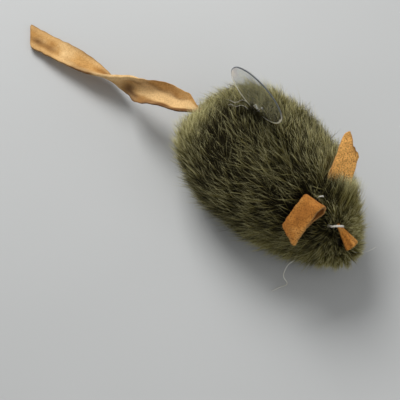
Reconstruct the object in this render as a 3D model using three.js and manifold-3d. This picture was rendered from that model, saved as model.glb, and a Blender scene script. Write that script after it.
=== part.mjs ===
// Catnip mouse: a stuffed toy of pile fabric with suede ears, nose and tail, and a clear tag on its back.
// Millimetres, +Z up. It rests on its flat belly on z = 0 and faces +X, with its left side on +Y.
// The origin lies on the belly's flat face, halfway along the body.
import * as THREE from "three";
import { mergeVertices } from "three/addons/utils/BufferGeometryUtils.js";
import Module from "manifold-3d";

const wasm = await Module();
wasm.setup();

// Body sizes. The skin is where the pile is dense, and loose tips stand a little proud of it.
const BODY_LENGTH = 80;
const BODY_WIDTH = 47;
const BODY_HEIGHT = 39.5;
const WIDEST_HEIGHT = 17; // height of the fullest line round the sides
const NOSE_HEIGHT = 12.8; // height of the tip of the snout
const BELLY_DEPTH = 19; // from the fullest line down to the belly before it is pressed flat
const RUMP_SIDE_POWER = 0.36; // a low power is blunt and a high one is pointed
const NOSE_SIDE_POWER = 0.66;
const RUMP_BACK_POWER = 0.54;
const NOSE_BACK_POWER = 0.67;
const PANEL_THICKNESS = 4; // backing cloth and dense pile
const BELLY_THICKNESS = 3;
const GAP = 0.3; // between pieces that touch
const SWING_GAP = 0.45; // round pieces that swing

// Filling sizes
const CATNIP_LENGTH = 30;
const CATNIP_WIDTH = 18;
const CATNIP_HEIGHT = 14;
const CATNIP_CENTRE_X = -6;
const CATNIP_CENTRE_Z = 19;
const FILLING_HOLE_DIAMETER = 8; // the way in from below, by which the toy was filled

// Thread sizes
const THREAD_DIAMETER = 0.8;
const TAG_THREAD_DIAMETER = 0.5;
const SEAM_DEPTH = 2.2; // of the seam's thread below the skin
const BACK_SEAM_RUMP_MARGIN = 8; // from the body's ends to those of the back seam's thread
const BACK_SEAM_NOSE_MARGIN = 4.8;
const STITCH_OVERHANG = 1.4; // of an ear's thread past the strip's edges
const NOSE_STITCH_SPAN = 6;
const NOSE_STITCH_RISE = 1.85; // above the nose tab's fold line
const TAG_STITCH_SPAN = 6;
const SHOULDER_SPREAD_SHARE = 0.31; // of a stitch's bends, as a share of its span
const SHOULDER_RISE_SHARE = 0.8; // of a stitch's bends, as a share of its rise

// Suede sizes
const SUEDE_THICKNESS = 1.2;
const STRIP_WIDTH = 8;
const TAIL_REACH = 89.5; // level distance from its root to its tip
const TAIL_SAG_POWER = 1.6; // 1 is a straight slope and a higher power hangs lower
const TAIL_NECK_WIDTH = 2.4;
const TAIL_NECK_END = 2.7; // distance from the pivot at which the strip starts to widen
const TAIL_FULL_WIDTH = 9; // distance at which it has its full width
const TAIL_ROOT_DEPTH = 1.8; // of the neck's end behind the tail's pivot
const TAIL_END_SLANT = 3.3; // how much longer one edge is than the middle, and the other shorter
const TAIL_CUP = 0.9; // how far the strip's edges curl up beside its middle
const TAIL_HEADING = 192.5; // degrees from +X
const TWIST_START_SHARE = 0.3; // shares of the tail's reach between which it makes half a turn
const TWIST_END_SHARE = 0.8;
const TWIST_POWER = 0.7; // 1 turns evenly about the middle and a lower power turns sooner
const BINDING_DIAMETER = 4.8;
const EAR_BACK_LEAF = 7; // length of the leaf that lies underneath
const LEFT_EAR_LONG_EDGE = 16.3;
const LEFT_EAR_SHORT_EDGE = 10;
const RIGHT_EAR_LONG_EDGE = 15;
const RIGHT_EAR_SHORT_EDGE = 12;
const EAR_BEND_RADIUS = 40; // of the gentle droop along the upper leaf
const LEFT_EAR_RISE = 1.8; // of the fold's thread above the skin
const RIGHT_EAR_RISE = 4;
const NOSE_TAB_LENGTH = 8.8;
const NOSE_TAB_WIDTH = 5.2;
const NOSE_TAB_NECK = 1.3;
const NOSE_TAB_TAIL = 0.8; // of the tab behind its stitch
const NOSE_PLEAT_HEIGHT = 0.35;
const NOSE_PLEAT_COUNT = 3;

// Tag sizes
const TAG_DIAMETER = 25;
const TAG_THICKNESS = 0.5;
const TAG_HOLE_DIAMETER = 1.8;
const TAG_HOLE_MARGIN = 1.3; // of clear film between the hole and the rim
const TAG_YAW = 2.5; // degrees from the body's length
const TAG_LEAN = 4; // degrees by which its top leans over to the right side

// Places on the skin: the share of the length from the rump, and degrees round from the left side
const TAIL_SHARE = 0.0425;
const TAIL_DEGREES = 106;
const LEFT_EAR_SHARE = 0.735;
const LEFT_EAR_DEGREES = 54;
const RIGHT_EAR_SHARE = 0.753;
const RIGHT_EAR_DEGREES = 105;
const NOSE_SHARE = 0.877;
const NOSE_DEGREES = 92.5;
const TAG_SHARE = 0.286;
const TAG_DEGREES = 77;

// Directions of the suede pieces: the way each reaches, and the way its upper side faces
const LEFT_EAR_REACH = new THREE.Vector3(-0.37, 0.81, 0.46);
const LEFT_EAR_FACE = new THREE.Vector3(0.66, -0.12, 0.75);
const RIGHT_EAR_REACH = new THREE.Vector3(0.03, -0.88, -0.47);
const RIGHT_EAR_FACE = new THREE.Vector3(-0.05, -0.47, 0.88);
const NOSE_REACH = new THREE.Vector3(0.87, 0.03, -0.45);
const NOSE_FACE = new THREE.Vector3(0.5, -0.15, 0.85);
const NOSE_STITCH_WAY = new THREE.Vector3(0.51, 0.76, -0.4);

// Facet counts
const SKIN_RING_COUNT = 24;
const SKIN_SIDE_COUNT = 32;
const LINING_RING_COUNT = 18;
const LINING_SIDE_COUNT = 24;
const THREAD_SIDE_COUNT = 8;
const SEAM_STEP_COUNT = 48;
const STITCH_STEP_COUNT = 20;
const TAIL_STEP_COUNT = 44;
const EAR_STEP_COUNT = 22;
const NOSE_STEP_COUNT = 8;
const ROUND_SEGMENT_COUNT = 40;

// Materials
const paint = (color, roughness) => new THREE.MeshStandardMaterial({ color, roughness, metalness: 0 });
const pile = paint(0x4a4428, 0.95);
const belly = paint(0x4f4a30, 0.95);
const fibre = paint(0xe8e4da, 1);
const herb = paint(0x6c7042, 1);
const suede = paint(0xbc8c50, 0.9);
const earSuede = paint(0xb87e3c, 0.9);
const whiteThread = paint(0xe9e4d6, 0.8);
const oliveThread = paint(0x4a462e, 0.8);
const clearFilm = new THREE.MeshStandardMaterial({
  color: 0xe6ebec,
  roughness: 0.1,
  metalness: 0,
  transparent: true,
  opacity: 0.3,
});

// Solids

// A closed geometry with only its positions, ready to be joined or cut.
function solidOf(geometry) {
  const plain = new THREE.BufferGeometry();
  const source = geometry.index ? geometry.toNonIndexed() : geometry;
  plain.setAttribute("position", source.getAttribute("position").clone());
  const merged = mergeVertices(plain, 1e-4);
  return new wasm.Manifold(
    new wasm.Mesh({
      numProp: 3,
      vertProperties: merged.attributes.position.array,
      triVerts: new Uint32Array(merged.index.array),
    }),
  );
}

function geometryOf(solid) {
  const mesh = solid.getMesh();
  const geometry = new THREE.BufferGeometry();
  geometry.setAttribute("position", new THREE.BufferAttribute(mesh.vertProperties, 3));
  geometry.setIndex(new THREE.BufferAttribute(mesh.triVerts, 1));
  return geometry;
}

// A closed surface through rings of points, each ring counter-clockwise about the way the rings run.
function loft(rings) {
  const sides = rings[0].length;
  const points = rings.flat();
  const faces = [];
  const last = rings.length - 1;
  const startCentre = points.length;
  points.push(meanOf(rings[0]));
  points.push(meanOf(rings[last]));
  for (let side = 0; side < sides; side++) {
    const next = (side + 1) % sides;
    for (let ring = 0; ring < last; ring++) {
      const here = ring * sides;
      const there = here + sides;
      faces.push(here + side, here + next, there + next);
      faces.push(here + side, there + next, there + side);
    }
    faces.push(startCentre, next, side);
    faces.push(startCentre + 1, last * sides + side, last * sides + next);
  }
  const geometry = new THREE.BufferGeometry().setFromPoints(points);
  geometry.setIndex(faces);
  return geometry;
}

function meanOf(points) {
  const sum = points.reduce((total, point) => total.add(point), new THREE.Vector3());
  return sum.divideScalar(points.length);
}

// A closed sheet: pointAt(along, across, side) gives its upper (+1) and under (-1) faces.
function sheet(lengthSteps, widthSteps, pointAt) {
  const rings = [];
  for (let i = 0; i <= lengthSteps; i++) {
    const ring = [];
    for (let j = 0; j <= widthSteps; j++) ring.push(pointAt(i / lengthSteps, j / widthSteps, 1));
    for (let j = widthSteps; j >= 0; j--) ring.push(pointAt(i / lengthSteps, j / widthSteps, -1));
    rings.push(ring);
  }
  return loft(rings);
}

// A round thread through points, as a closed tube.
function thread(points, diameter, steps) {
  const section = new THREE.Shape();
  for (let side = 0; side < THREAD_SIDE_COUNT; side++) {
    const angle = (2 * Math.PI * side) / THREAD_SIDE_COUNT;
    const across = (diameter / 2) * Math.cos(angle);
    const up = (diameter / 2) * Math.sin(angle);
    if (side === 0) section.moveTo(across, up);
    else section.lineTo(across, up);
  }
  const extrudePath = new THREE.CatmullRomCurve3(points, false, "centripetal");
  return new THREE.ExtrudeGeometry(section, { steps, extrudePath });
}

// A box of the space above a height, and to one side of the middle where side is +1 or -1.
function spaceAbove(height, side = 0) {
  const size = 2 * (BODY_LENGTH + BODY_WIDTH + BODY_HEIGHT);
  const box = new THREE.BoxGeometry(size, size, size);
  box.translate(0, side * (size / 2 + GAP / 2), height + size / 2);
  return solidOf(box);
}

// The body's skin

// How full the body is along its length: 1 at its fullest, falling to 0 at both ends.
function fullness(share, rumpPower, nosePower) {
  const fullest = rumpPower / (rumpPower + nosePower);
  return (share / fullest) ** rumpPower * ((1 - share) / (1 - fullest)) ** nosePower;
}

// A point of the skin, or of a layer inset from it, at a share of the length and an angle round it.
function skinPoint(share, angle, inset) {
  const side = fullness(share, RUMP_SIDE_POWER, NOSE_SIDE_POWER);
  const back = fullness(share, RUMP_BACK_POWER, NOSE_BACK_POWER);
  const droop = Math.max(2 * share - 1, 0) ** 2;
  const middle = WIDEST_HEIGHT + (NOSE_HEIGHT - WIDEST_HEIGHT) * droop;
  const upper = (BODY_HEIGHT - WIDEST_HEIGHT - inset) * back;
  const lower = (BELLY_DEPTH - inset) * side;
  const lift = Math.sin(angle);
  return new THREE.Vector3(
    (BODY_LENGTH - 2 * inset) * (share - 0.5),
    (BODY_WIDTH / 2 - inset) * side * Math.cos(angle),
    middle + lift * (lift > 0 ? upper : lower),
  );
}

// The whole body within a layer, with shares closer together towards both ends.
function bodySolid(inset, ringCount, sides) {
  const rings = [];
  for (let i = 0; i < ringCount; i++) {
    const share = (1 - Math.cos((Math.PI * (i + 0.3)) / (ringCount - 0.4))) / 2;
    const ring = [];
    for (let j = 0; j < sides; j++) ring.push(skinPoint(share, (2 * Math.PI * j) / sides, inset));
    rings.push(ring);
  }
  return solidOf(loft(rings));
}

// A place on the skin with the way the skin faces there.
function placeOnSkin(share, degrees) {
  const angle = THREE.MathUtils.degToRad(degrees);
  const step = 1e-3;
  const point = skinPoint(share, angle, 0);
  const alongWay = skinPoint(share + step, angle, 0).sub(skinPoint(share - step, angle, 0));
  const roundWay = skinPoint(share, angle + step, 0).sub(skinPoint(share, angle - step, 0));
  return { point, normal: roundWay.cross(alongWay).normalize() };
}

const skin = bodySolid(0, SKIN_RING_COUNT, SKIN_SIDE_COUNT);
const skinMesh = new THREE.Mesh(geometryOf(skin), new THREE.MeshBasicMaterial({ side: THREE.DoubleSide }));

// The spot on the skin below a point, looking along a direction.
function dropToSkin(point, direction) {
  const start = point.clone().addScaledVector(direction, -BODY_WIDTH);
  const caster = new THREE.Raycaster(start, direction.clone().normalize());
  return caster.intersectObject(skinMesh)[0].point;
}

// Parts

const mouse = new THREE.Group();

function addPart(parent, name, geometry, material) {
  const mesh = new THREE.Mesh(geometry, material);
  mesh.name = name;
  parent.add(mesh);
  return mesh;
}

// A group at a pivot whose own x reaches one way and whose own z faces another.
function pivotGroup(name, pivot, reach, face) {
  const along = reach.clone().normalize();
  const across = face.clone().cross(along).normalize();
  const up = along.clone().cross(across);
  const group = new THREE.Group();
  group.name = name;
  group.position.copy(pivot);
  group.quaternion.setFromRotationMatrix(new THREE.Matrix4().makeBasis(along, across, up));
  mouse.add(group);
  return group;
}

// Seams: the thread that closes the back and the thread round the belly panel
const threadChannel = THREAD_DIAMETER + 2 * GAP;
const seamHeight = BELLY_THICKNESS + GAP / 2;

function backSeamPoints() {
  const points = [];
  const rumpEnd = BACK_SEAM_RUMP_MARGIN / BODY_LENGTH;
  const noseEnd = 1 - BACK_SEAM_NOSE_MARGIN / BODY_LENGTH;
  for (let i = 0; i <= SEAM_STEP_COUNT; i++) {
    const share = THREE.MathUtils.lerp(rumpEnd, noseEnd, i / SEAM_STEP_COUNT);
    points.push(skinPoint(share, Math.PI / 2, SEAM_DEPTH));
  }
  return points;
}

// Where the inset layer is level with the belly seam, at a share of the length, on one side.
function bellySeamPoint(share, side) {
  const layer = skinPoint(share, -Math.PI / 2, SEAM_DEPTH);
  const widest = skinPoint(share, 0, SEAM_DEPTH);
  const drop = (widest.z - seamHeight) / (widest.z - layer.z);
  return new THREE.Vector3(layer.x, side * widest.y * Math.sqrt(Math.max(1 - drop ** 2, 0)), seamHeight);
}

// The share at which the inset layer's lowest line rises past the belly seam, towards one end.
function bellySeamEnd(insideShare, outsideShare) {
  let inside = insideShare;
  let outside = outsideShare;
  for (let i = 0; i < 40; i++) {
    const middle = (inside + outside) / 2;
    if (skinPoint(middle, -Math.PI / 2, SEAM_DEPTH).z < seamHeight) inside = middle;
    else outside = middle;
  }
  return inside;
}

function bellySeamPoints() {
  const rumpEnd = bellySeamEnd(0.4, 0.001);
  const noseEnd = bellySeamEnd(0.4, 0.999);
  const startTurn = 0.06; // the thread starts and ends a little apart at the rump
  const points = [];
  for (let i = 0; i <= SEAM_STEP_COUNT; i++) {
    const turn = startTurn + ((2 * Math.PI - 2 * startTurn) * i) / SEAM_STEP_COUNT;
    const share = rumpEnd + ((noseEnd - rumpEnd) * (1 - Math.cos(turn))) / 2;
    points.push(bellySeamPoint(share, turn < Math.PI ? 1 : -1));
  }
  return points;
}

const backSeam = backSeamPoints();
const bellySeam = bellySeamPoints();
const seamChannels = solidOf(thread(backSeam, threadChannel, SEAM_STEP_COUNT)).add(
  solidOf(thread(bellySeam, threadChannel, SEAM_STEP_COUNT)),
);

// Tail pivot and the pocket in the pile round its root
const tailPivot = placeOnSkin(TAIL_SHARE, TAIL_DEGREES).point;
const pocketRadius = BINDING_DIAMETER / 2 + THREAD_DIAMETER / 2 + SWING_GAP;
const tailPocketShape = new THREE.SphereGeometry(pocketRadius, LINING_SIDE_COUNT, LINING_SIDE_COUNT / 2);
const tailPocket = solidOf(tailPocketShape.translate(tailPivot.x, tailPivot.y, tailPivot.z));

// Ear pivots and the dents in the pile round their folds
const foldRadius = THREAD_DIAMETER / 2 + GAP + SUEDE_THICKNESS / 2;
const foldLength = Math.PI * foldRadius;

function earPivot(side, { point, normal }, rise, reach, face) {
  const pivot = point.clone().addScaledVector(normal, rise);
  return { group: pivotGroup(side + "_ear_pivot", pivot, reach, face), pivot, normal };
}

function earDent({ group }) {
  const radius = foldRadius + SUEDE_THICKNESS / 2 + GAP;
  const length = STRIP_WIDTH + 2 * STITCH_OVERHANG + threadChannel;
  const dent = new THREE.CylinderGeometry(radius, radius, length, LINING_SIDE_COUNT);
  group.updateMatrixWorld(true);
  return solidOf(dent.applyMatrix4(group.matrixWorld));
}

const leftPlace = placeOnSkin(LEFT_EAR_SHARE, LEFT_EAR_DEGREES);
const leftEar = earPivot("left", leftPlace, LEFT_EAR_RISE, LEFT_EAR_REACH, LEFT_EAR_FACE);
const rightPlace = placeOnSkin(RIGHT_EAR_SHARE, RIGHT_EAR_DEGREES);
const rightEar = earPivot("right", rightPlace, RIGHT_EAR_RISE, RIGHT_EAR_REACH, RIGHT_EAR_FACE);
const pockets = tailPocket.add(earDent(leftEar)).add(earDent(rightEar));

// Side panels and belly panel
const lining = bodySolid(PANEL_THICKNESS, LINING_RING_COUNT, LINING_SIDE_COUNT);
const shell = skin.subtract(lining).subtract(seamChannels).subtract(pockets);
const panelFoot = BELLY_THICKNESS + GAP;
addPart(mouse, "left_fur_panel", geometryOf(shell.intersect(spaceAbove(panelFoot, 1))), pile);
addPart(mouse, "right_fur_panel", geometryOf(shell.intersect(spaceAbove(panelFoot, -1))), pile);
const bellySlice = skin.intersect(spaceAbove(0)).subtract(spaceAbove(BELLY_THICKNESS));
addPart(mouse, "belly_panel", geometryOf(bellySlice.subtract(seamChannels)), belly);
addPart(mouse, "back_seam_thread", thread(backSeam, THREAD_DIAMETER, SEAM_STEP_COUNT), oliveThread);
addPart(mouse, "belly_seam_thread", thread(bellySeam, THREAD_DIAMETER, SEAM_STEP_COUNT), oliveThread);

// Filling: fibre with a hollow for the catnip, open below where it was filled
function catnipShape(clearance) {
  const shape = new THREE.SphereGeometry(1, LINING_SIDE_COUNT, LINING_SIDE_COUNT / 2);
  shape.scale(CATNIP_LENGTH / 2 + clearance, CATNIP_WIDTH / 2 + clearance, CATNIP_HEIGHT / 2 + clearance);
  return shape.translate(CATNIP_CENTRE_X, 0, CATNIP_CENTRE_Z);
}

const holeRadius = FILLING_HOLE_DIAMETER / 2;
const fillingHole = new THREE.CylinderGeometry(holeRadius, holeRadius, CATNIP_CENTRE_Z, LINING_SIDE_COUNT);
fillingHole.rotateX(Math.PI / 2);
fillingHole.translate(CATNIP_CENTRE_X, 0, CATNIP_CENTRE_Z / 2);
const fibreFill = bodySolid(PANEL_THICKNESS + GAP, LINING_RING_COUNT, LINING_SIDE_COUNT)
  .intersect(spaceAbove(panelFoot))
  .subtract(solidOf(catnipShape(GAP)).add(solidOf(fillingHole)));
addPart(mouse, "stuffing", geometryOf(fibreFill), fibre);
addPart(mouse, "catnip_filling", catnipShape(0), herb);

// Tail: a strip that widens from its neck, makes half a turn and comes down to the floor
const tailFloorHeight = SUEDE_THICKNESS / 2 + GAP;
const tailDrop = tailPivot.z - tailFloorHeight;

function tailPoint(along, across, side) {
  const place = 2 * across - 1;
  const edgeLength = TAIL_REACH + TAIL_ROOT_DEPTH - TAIL_END_SLANT * place;
  const distance = -TAIL_ROOT_DEPTH + edgeLength * along;
  const share = Math.max(distance / TAIL_REACH, 0);
  const fallen = 1 - Math.max(1 - share, 0) ** TAIL_SAG_POWER;
  const widening = THREE.MathUtils.smoothstep(distance, TAIL_NECK_END, TAIL_FULL_WIDTH);
  const width = THREE.MathUtils.lerp(TAIL_NECK_WIDTH, STRIP_WIDTH, widening);
  const twistShare = (share - TWIST_START_SHARE) / (TWIST_END_SHARE - TWIST_START_SHARE);
  const roll = -Math.PI * THREE.MathUtils.smoothstep(Math.max(twistShare, 0) ** TWIST_POWER, 0, 1);
  const curl = TAIL_CUP * widening * place ** 2 * Math.cos(roll);
  const local = new THREE.Vector3(0, (-place * width) / 2, curl + (side * SUEDE_THICKNESS) / 2);
  local.applyAxisAngle(new THREE.Vector3(1, 0, 0), roll);
  return local.add(new THREE.Vector3(distance, 0, -tailDrop * fallen));
}

const heading = THREE.MathUtils.degToRad(TAIL_HEADING);
const tailWay = new THREE.Vector3(Math.cos(heading), Math.sin(heading), 0);
const upwards = new THREE.Vector3(0, 0, 1);
const tailGroup = pivotGroup("tail_pivot", tailPivot, tailWay, upwards);
addPart(tailGroup, "tail", sheet(TAIL_STEP_COUNT, 4, tailPoint), suede);
const binding = new THREE.TorusGeometry(
  BINDING_DIAMETER / 2,
  THREAD_DIAMETER / 2,
  THREAD_SIDE_COUNT,
  LINING_SIDE_COUNT,
);
addPart(tailGroup, "tail_binding", binding.rotateY(Math.PI / 2), whiteThread);

// Ears: strips folded round a thread that is sewn to the head

// The strip's middle line from the back leaf's end, round the fold and out along the upper leaf,
// in the ear's own x and z, with the way its outer side faces.
function earLine(distance) {
  if (distance < EAR_BACK_LEAF) return { x: EAR_BACK_LEAF - distance, z: -foldRadius, outX: 0, outZ: -1 };
  const past = distance - EAR_BACK_LEAF;
  if (past < foldLength) {
    const turn = past / foldRadius;
    const outX = -Math.sin(turn);
    const outZ = -Math.cos(turn);
    return { x: foldRadius * outX, z: foldRadius * outZ, outX, outZ };
  }
  const droop = (past - foldLength) / EAR_BEND_RADIUS;
  const outX = Math.sin(droop);
  const outZ = Math.cos(droop);
  return { x: EAR_BEND_RADIUS * outX, z: foldRadius - EAR_BEND_RADIUS * (1 - outZ), outX, outZ };
}

function earSheet(leftEdge, rightEdge) {
  return sheet(EAR_STEP_COUNT, 2, (along, across, side) => {
    const upperLeaf = THREE.MathUtils.lerp(leftEdge, rightEdge, across);
    const line = earLine(along * (EAR_BACK_LEAF + foldLength + upperLeaf));
    const offset = (side * SUEDE_THICKNESS) / 2;
    const y = STRIP_WIDTH * (0.5 - across);
    return new THREE.Vector3(line.x + offset * line.outX, y, line.z + offset * line.outZ);
  });
}

function addEar(side, { group, pivot, normal }, leftEdge, rightEdge) {
  addPart(group, side + "_ear", earSheet(leftEdge, rightEdge), earSuede);
  const across = new THREE.Vector3(0, 1, 0).applyQuaternion(group.quaternion);
  const inwards = normal.clone().projectOnPlane(across).normalize().negate();
  const points = [-1, 1].flatMap((end) => {
    const inner = pivot.clone().addScaledVector(across, (end * STRIP_WIDTH) / 4);
    const shoulder = pivot.clone().addScaledVector(across, end * (STRIP_WIDTH / 2 + 2 * GAP));
    const above = pivot.clone().addScaledVector(across, end * (STRIP_WIDTH / 2 + STITCH_OVERHANG));
    const foot = dropToSkin(above, inwards).addScaledVector(normal, THREAD_DIAMETER / 2 + GAP);
    return end < 0 ? [foot, shoulder, inner] : [inner, shoulder, foot];
  });
  addPart(mouse, side + "_ear_stitch", thread(points, THREAD_DIAMETER, STITCH_STEP_COUNT), whiteThread);
}

addEar("left", leftEar, LEFT_EAR_LONG_EDGE, LEFT_EAR_SHORT_EDGE);
addEar("right", rightEar, RIGHT_EAR_LONG_EDGE, RIGHT_EAR_SHORT_EDGE);

// Nose: a pleated tab that flares from under its stitch
const nosePlace = placeOnSkin(NOSE_SHARE, NOSE_DEGREES);
const noseSeat = SUEDE_THICKNESS / 2 + 2 * GAP;
const nosePivot = nosePlace.point.clone().addScaledVector(nosePlace.normal, noseSeat);
const noseGroup = pivotGroup("nose_pivot", nosePivot, NOSE_REACH, NOSE_FACE);

function nosePoint(along, across, side) {
  const x = -NOSE_TAB_TAIL + (NOSE_TAB_LENGTH + NOSE_TAB_TAIL) * along;
  const flare = Math.max(x / NOSE_TAB_LENGTH, 0);
  const width = THREE.MathUtils.lerp(NOSE_TAB_NECK, NOSE_TAB_WIDTH, flare);
  const pleat = NOSE_PLEAT_HEIGHT * flare * Math.cos(2 * Math.PI * NOSE_PLEAT_COUNT * (across - 0.5));
  return new THREE.Vector3(x, width * (0.5 - across), pleat + (side * SUEDE_THICKNESS) / 2);
}

addPart(noseGroup, "nose_tab", sheet(NOSE_STEP_COUNT, 4 * NOSE_PLEAT_COUNT, nosePoint), earSuede);

// A thread that arches over a pivot from one foot on the skin to the other.
function archPoints(pivot, across, up, span, rise, diameter) {
  const inwards = up.clone().negate();
  const feet = [-1, 1].map((end) => {
    const above = pivot.clone().addScaledVector(across, (end * span) / 2);
    return dropToSkin(above, inwards).addScaledVector(up, diameter / 2 + GAP);
  });
  const shoulders = [-1, 1].map((end) => {
    const beside = pivot.clone().addScaledVector(across, end * SHOULDER_SPREAD_SHARE * span);
    return beside.addScaledVector(up, SHOULDER_RISE_SHARE * rise);
  });
  const top = pivot.clone().addScaledVector(up, rise);
  return [feet[0], shoulders[0], top, shoulders[1], feet[1]];
}

const noseArch = archPoints(
  nosePivot,
  NOSE_STITCH_WAY.clone().normalize(),
  nosePlace.normal,
  NOSE_STITCH_SPAN,
  NOSE_STITCH_RISE,
  THREAD_DIAMETER,
);
addPart(mouse, "nose_stitch", thread(noseArch, THREAD_DIAMETER, STITCH_STEP_COUNT), whiteThread);

// Tag: a clear disc that stands on the back, held by a thread through its hole
const tagPlace = placeOnSkin(TAG_SHARE, TAG_DEGREES);
const tagHoleHeight = TAG_HOLE_MARGIN + TAG_HOLE_DIAMETER / 2;
const tagPivot = tagPlace.point.clone().addScaledVector(upwards, tagHoleHeight + SWING_GAP);
const tagYaw = THREE.MathUtils.degToRad(TAG_YAW);
const tagWay = new THREE.Vector3(Math.cos(tagYaw), Math.sin(tagYaw), 0);
const tagFace = upwards.clone().applyAxisAngle(tagWay, THREE.MathUtils.degToRad(TAG_LEAN));
const tagGroup = pivotGroup("tag_pivot", tagPivot, tagWay, tagFace);
const tagOutline = new THREE.Shape();
tagOutline.absarc(0, TAG_DIAMETER / 2 - tagHoleHeight, TAG_DIAMETER / 2, 0, 2 * Math.PI);
const tagHole = new THREE.Path();
tagHole.absarc(0, 0, TAG_HOLE_DIAMETER / 2, 0, 2 * Math.PI);
tagOutline.holes.push(tagHole);
const tagShape = new THREE.ExtrudeGeometry(tagOutline, {
  depth: TAG_THICKNESS,
  bevelEnabled: false,
  curveSegments: ROUND_SEGMENT_COUNT,
});
tagShape.translate(0, 0, -TAG_THICKNESS / 2);
addPart(tagGroup, "tag_disc", tagShape.rotateX(Math.PI / 2), clearFilm);
const tagAcross = upwards.clone().cross(tagWay);
const tagArch = archPoints(tagPivot, tagAcross, upwards, TAG_STITCH_SPAN, 0, TAG_THREAD_DIAMETER);
addPart(mouse, "tag_thread", thread(tagArch, TAG_THREAD_DIAMETER, STITCH_STEP_COUNT), whiteThread);

export default mouse;
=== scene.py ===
# %% [markdown]
# # A catnip mouse
# The toy is an egg-shaped bag of olive pile fabric with suede ears, nose and tail, and a clear tag on top.
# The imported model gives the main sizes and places, so each piece here is worked out in that frame, in
# millimetres, and turned to metres only when it goes into its mesh.

import bpy
import numpy as np
from mathutils import Matrix, Vector


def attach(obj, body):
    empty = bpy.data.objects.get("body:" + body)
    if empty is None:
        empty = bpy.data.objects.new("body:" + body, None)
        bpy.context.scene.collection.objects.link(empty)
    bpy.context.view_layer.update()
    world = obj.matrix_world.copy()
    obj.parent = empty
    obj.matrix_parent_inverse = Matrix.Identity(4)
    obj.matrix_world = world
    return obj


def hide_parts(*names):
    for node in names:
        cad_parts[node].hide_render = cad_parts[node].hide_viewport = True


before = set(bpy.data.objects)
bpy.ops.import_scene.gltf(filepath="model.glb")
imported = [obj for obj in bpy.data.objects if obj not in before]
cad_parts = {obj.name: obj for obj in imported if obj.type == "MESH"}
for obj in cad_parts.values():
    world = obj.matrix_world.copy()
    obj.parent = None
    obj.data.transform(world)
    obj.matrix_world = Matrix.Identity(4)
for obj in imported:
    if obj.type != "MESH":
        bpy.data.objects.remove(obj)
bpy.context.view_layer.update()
# Standard shows a colour as it is, with no film curve.
bpy.context.scene.view_settings.view_transform = "Standard"

# %% [markdown]
# ## The camera
# The toy is seen from high up in front of its right shoulder. Azimuth and elevation were fitted to the
# outline of the body, and a small roll puts the tail and the nose where the picture has them.

# %% Camera
EYE = (177.3, -160.0, 437.9)  # where the camera stands
AZIMUTH, ELEVATION, ROLL = np.radians((55.01, 61.005, -6.148))
SENSOR, LENS = 36.0, 120.1

camera_data = bpy.data.cameras.new("picture_camera")
camera_data.sensor_width = SENSOR
camera_data.lens = LENS
camera = bpy.data.objects.new("picture_camera", camera_data)
bpy.context.collection.objects.link(camera)
turned = Matrix.Rotation(AZIMUTH, 4, "Z") @ Matrix.Rotation(np.pi / 2 - ELEVATION, 4, "X")
camera.matrix_world = Matrix.Translation(Vector(EYE) / 1000) @ turned @ Matrix.Rotation(ROLL, 4, "Z")
bpy.context.scene.camera = camera
print("camera is", round(Vector(EYE).length), "mm from the origin")

# %% [markdown]
# ## Helpers for materials
# A shader works in linear light, so one function turns sRGB hex colours to it. A second adds a node with its
# settings and links, and a third starts a material from a Principled shader with its plain values set. Most
# finishes here are one texture that gives both the colour and the relief, so a fourth makes those.

# %% Material helpers
NOISE, CELLS = "ShaderNodeTexNoise", "ShaderNodeTexVoronoi"
FACTOR, FIRST, SECOND, MIXED = 0, 6, 7, 2  # sockets of a colour mix, by number because their names repeat


def linear(hex_colour):
    """sRGB hex to linear RGBA: c / 12.92 for dark channels, else ((c + 0.055) / 1.055) to the power 2.4."""
    c = np.array([int(hex_colour[i : i + 2], 16) for i in (1, 3, 5)]) / 255
    return (*np.where(c <= 0.04045, c / 12.92, ((c + 0.055) / 1.055) ** 2.4), 1.0)


def node(tree, kind, inputs=None, stops=None, **settings):
    """Adds a node. An input that is a socket is linked, any other is set, and stops fill a colour ramp."""
    made = tree.nodes.new(kind)
    for name, value in settings.items():
        setattr(made, name, value)
    for name, value in (inputs or {}).items():
        if isinstance(value, bpy.types.NodeSocket):
            tree.links.new(value, made.inputs[name])
        else:
            made.inputs[name].default_value = value
    for i, (place, colour) in enumerate(stops or []):
        element = made.color_ramp.elements[i] if i < 2 else made.color_ramp.elements.new(place)
        element.position = place
        element.color = linear(colour)
    return made


def material(name, **plain):
    """A new material: its Principled shader's sockets are set by name, with _ for each space."""
    made = bpy.data.materials.new(name)
    made.use_nodes = True
    surface = made.node_tree.nodes["Principled BSDF"]
    for socket, value in plain.items():
        surface.inputs[socket.replace("_", " ")].default_value = value
    return made, made.node_tree, surface


def grained(name, texture, stops, bump=None, tone="Fac", **plain):
    """A material of one texture, sized in metres: its tone picks the colour, and a bump gives it relief."""
    made, tree, surface = material(name, **plain)
    kind, size, settings = texture
    place = node(tree, "ShaderNodeTexCoord").outputs["Object"]
    grain = node(tree, kind, {"Vector": place, "Scale": 1 / size, **settings})
    tint = node(tree, "ShaderNodeValToRGB", {"Fac": grain.outputs[tone]}, stops)
    tree.links.new(tint.outputs["Color"], surface.inputs["Base Color"])
    if bump:
        depth, strength = bump
        relief = {"Height": grain.outputs[0], "Distance": depth, "Strength": strength}
        tree.links.new(node(tree, "ShaderNodeBump", relief).outputs["Normal"], surface.inputs["Normal"])
    return made


# %% [markdown]
# ## Helpers for meshes
# A piece is a few numpy arrays: points, four-sided faces and three-sided ones. One function puts them into a
# mesh object, with a map and any values that its finish reads at each point.

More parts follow.
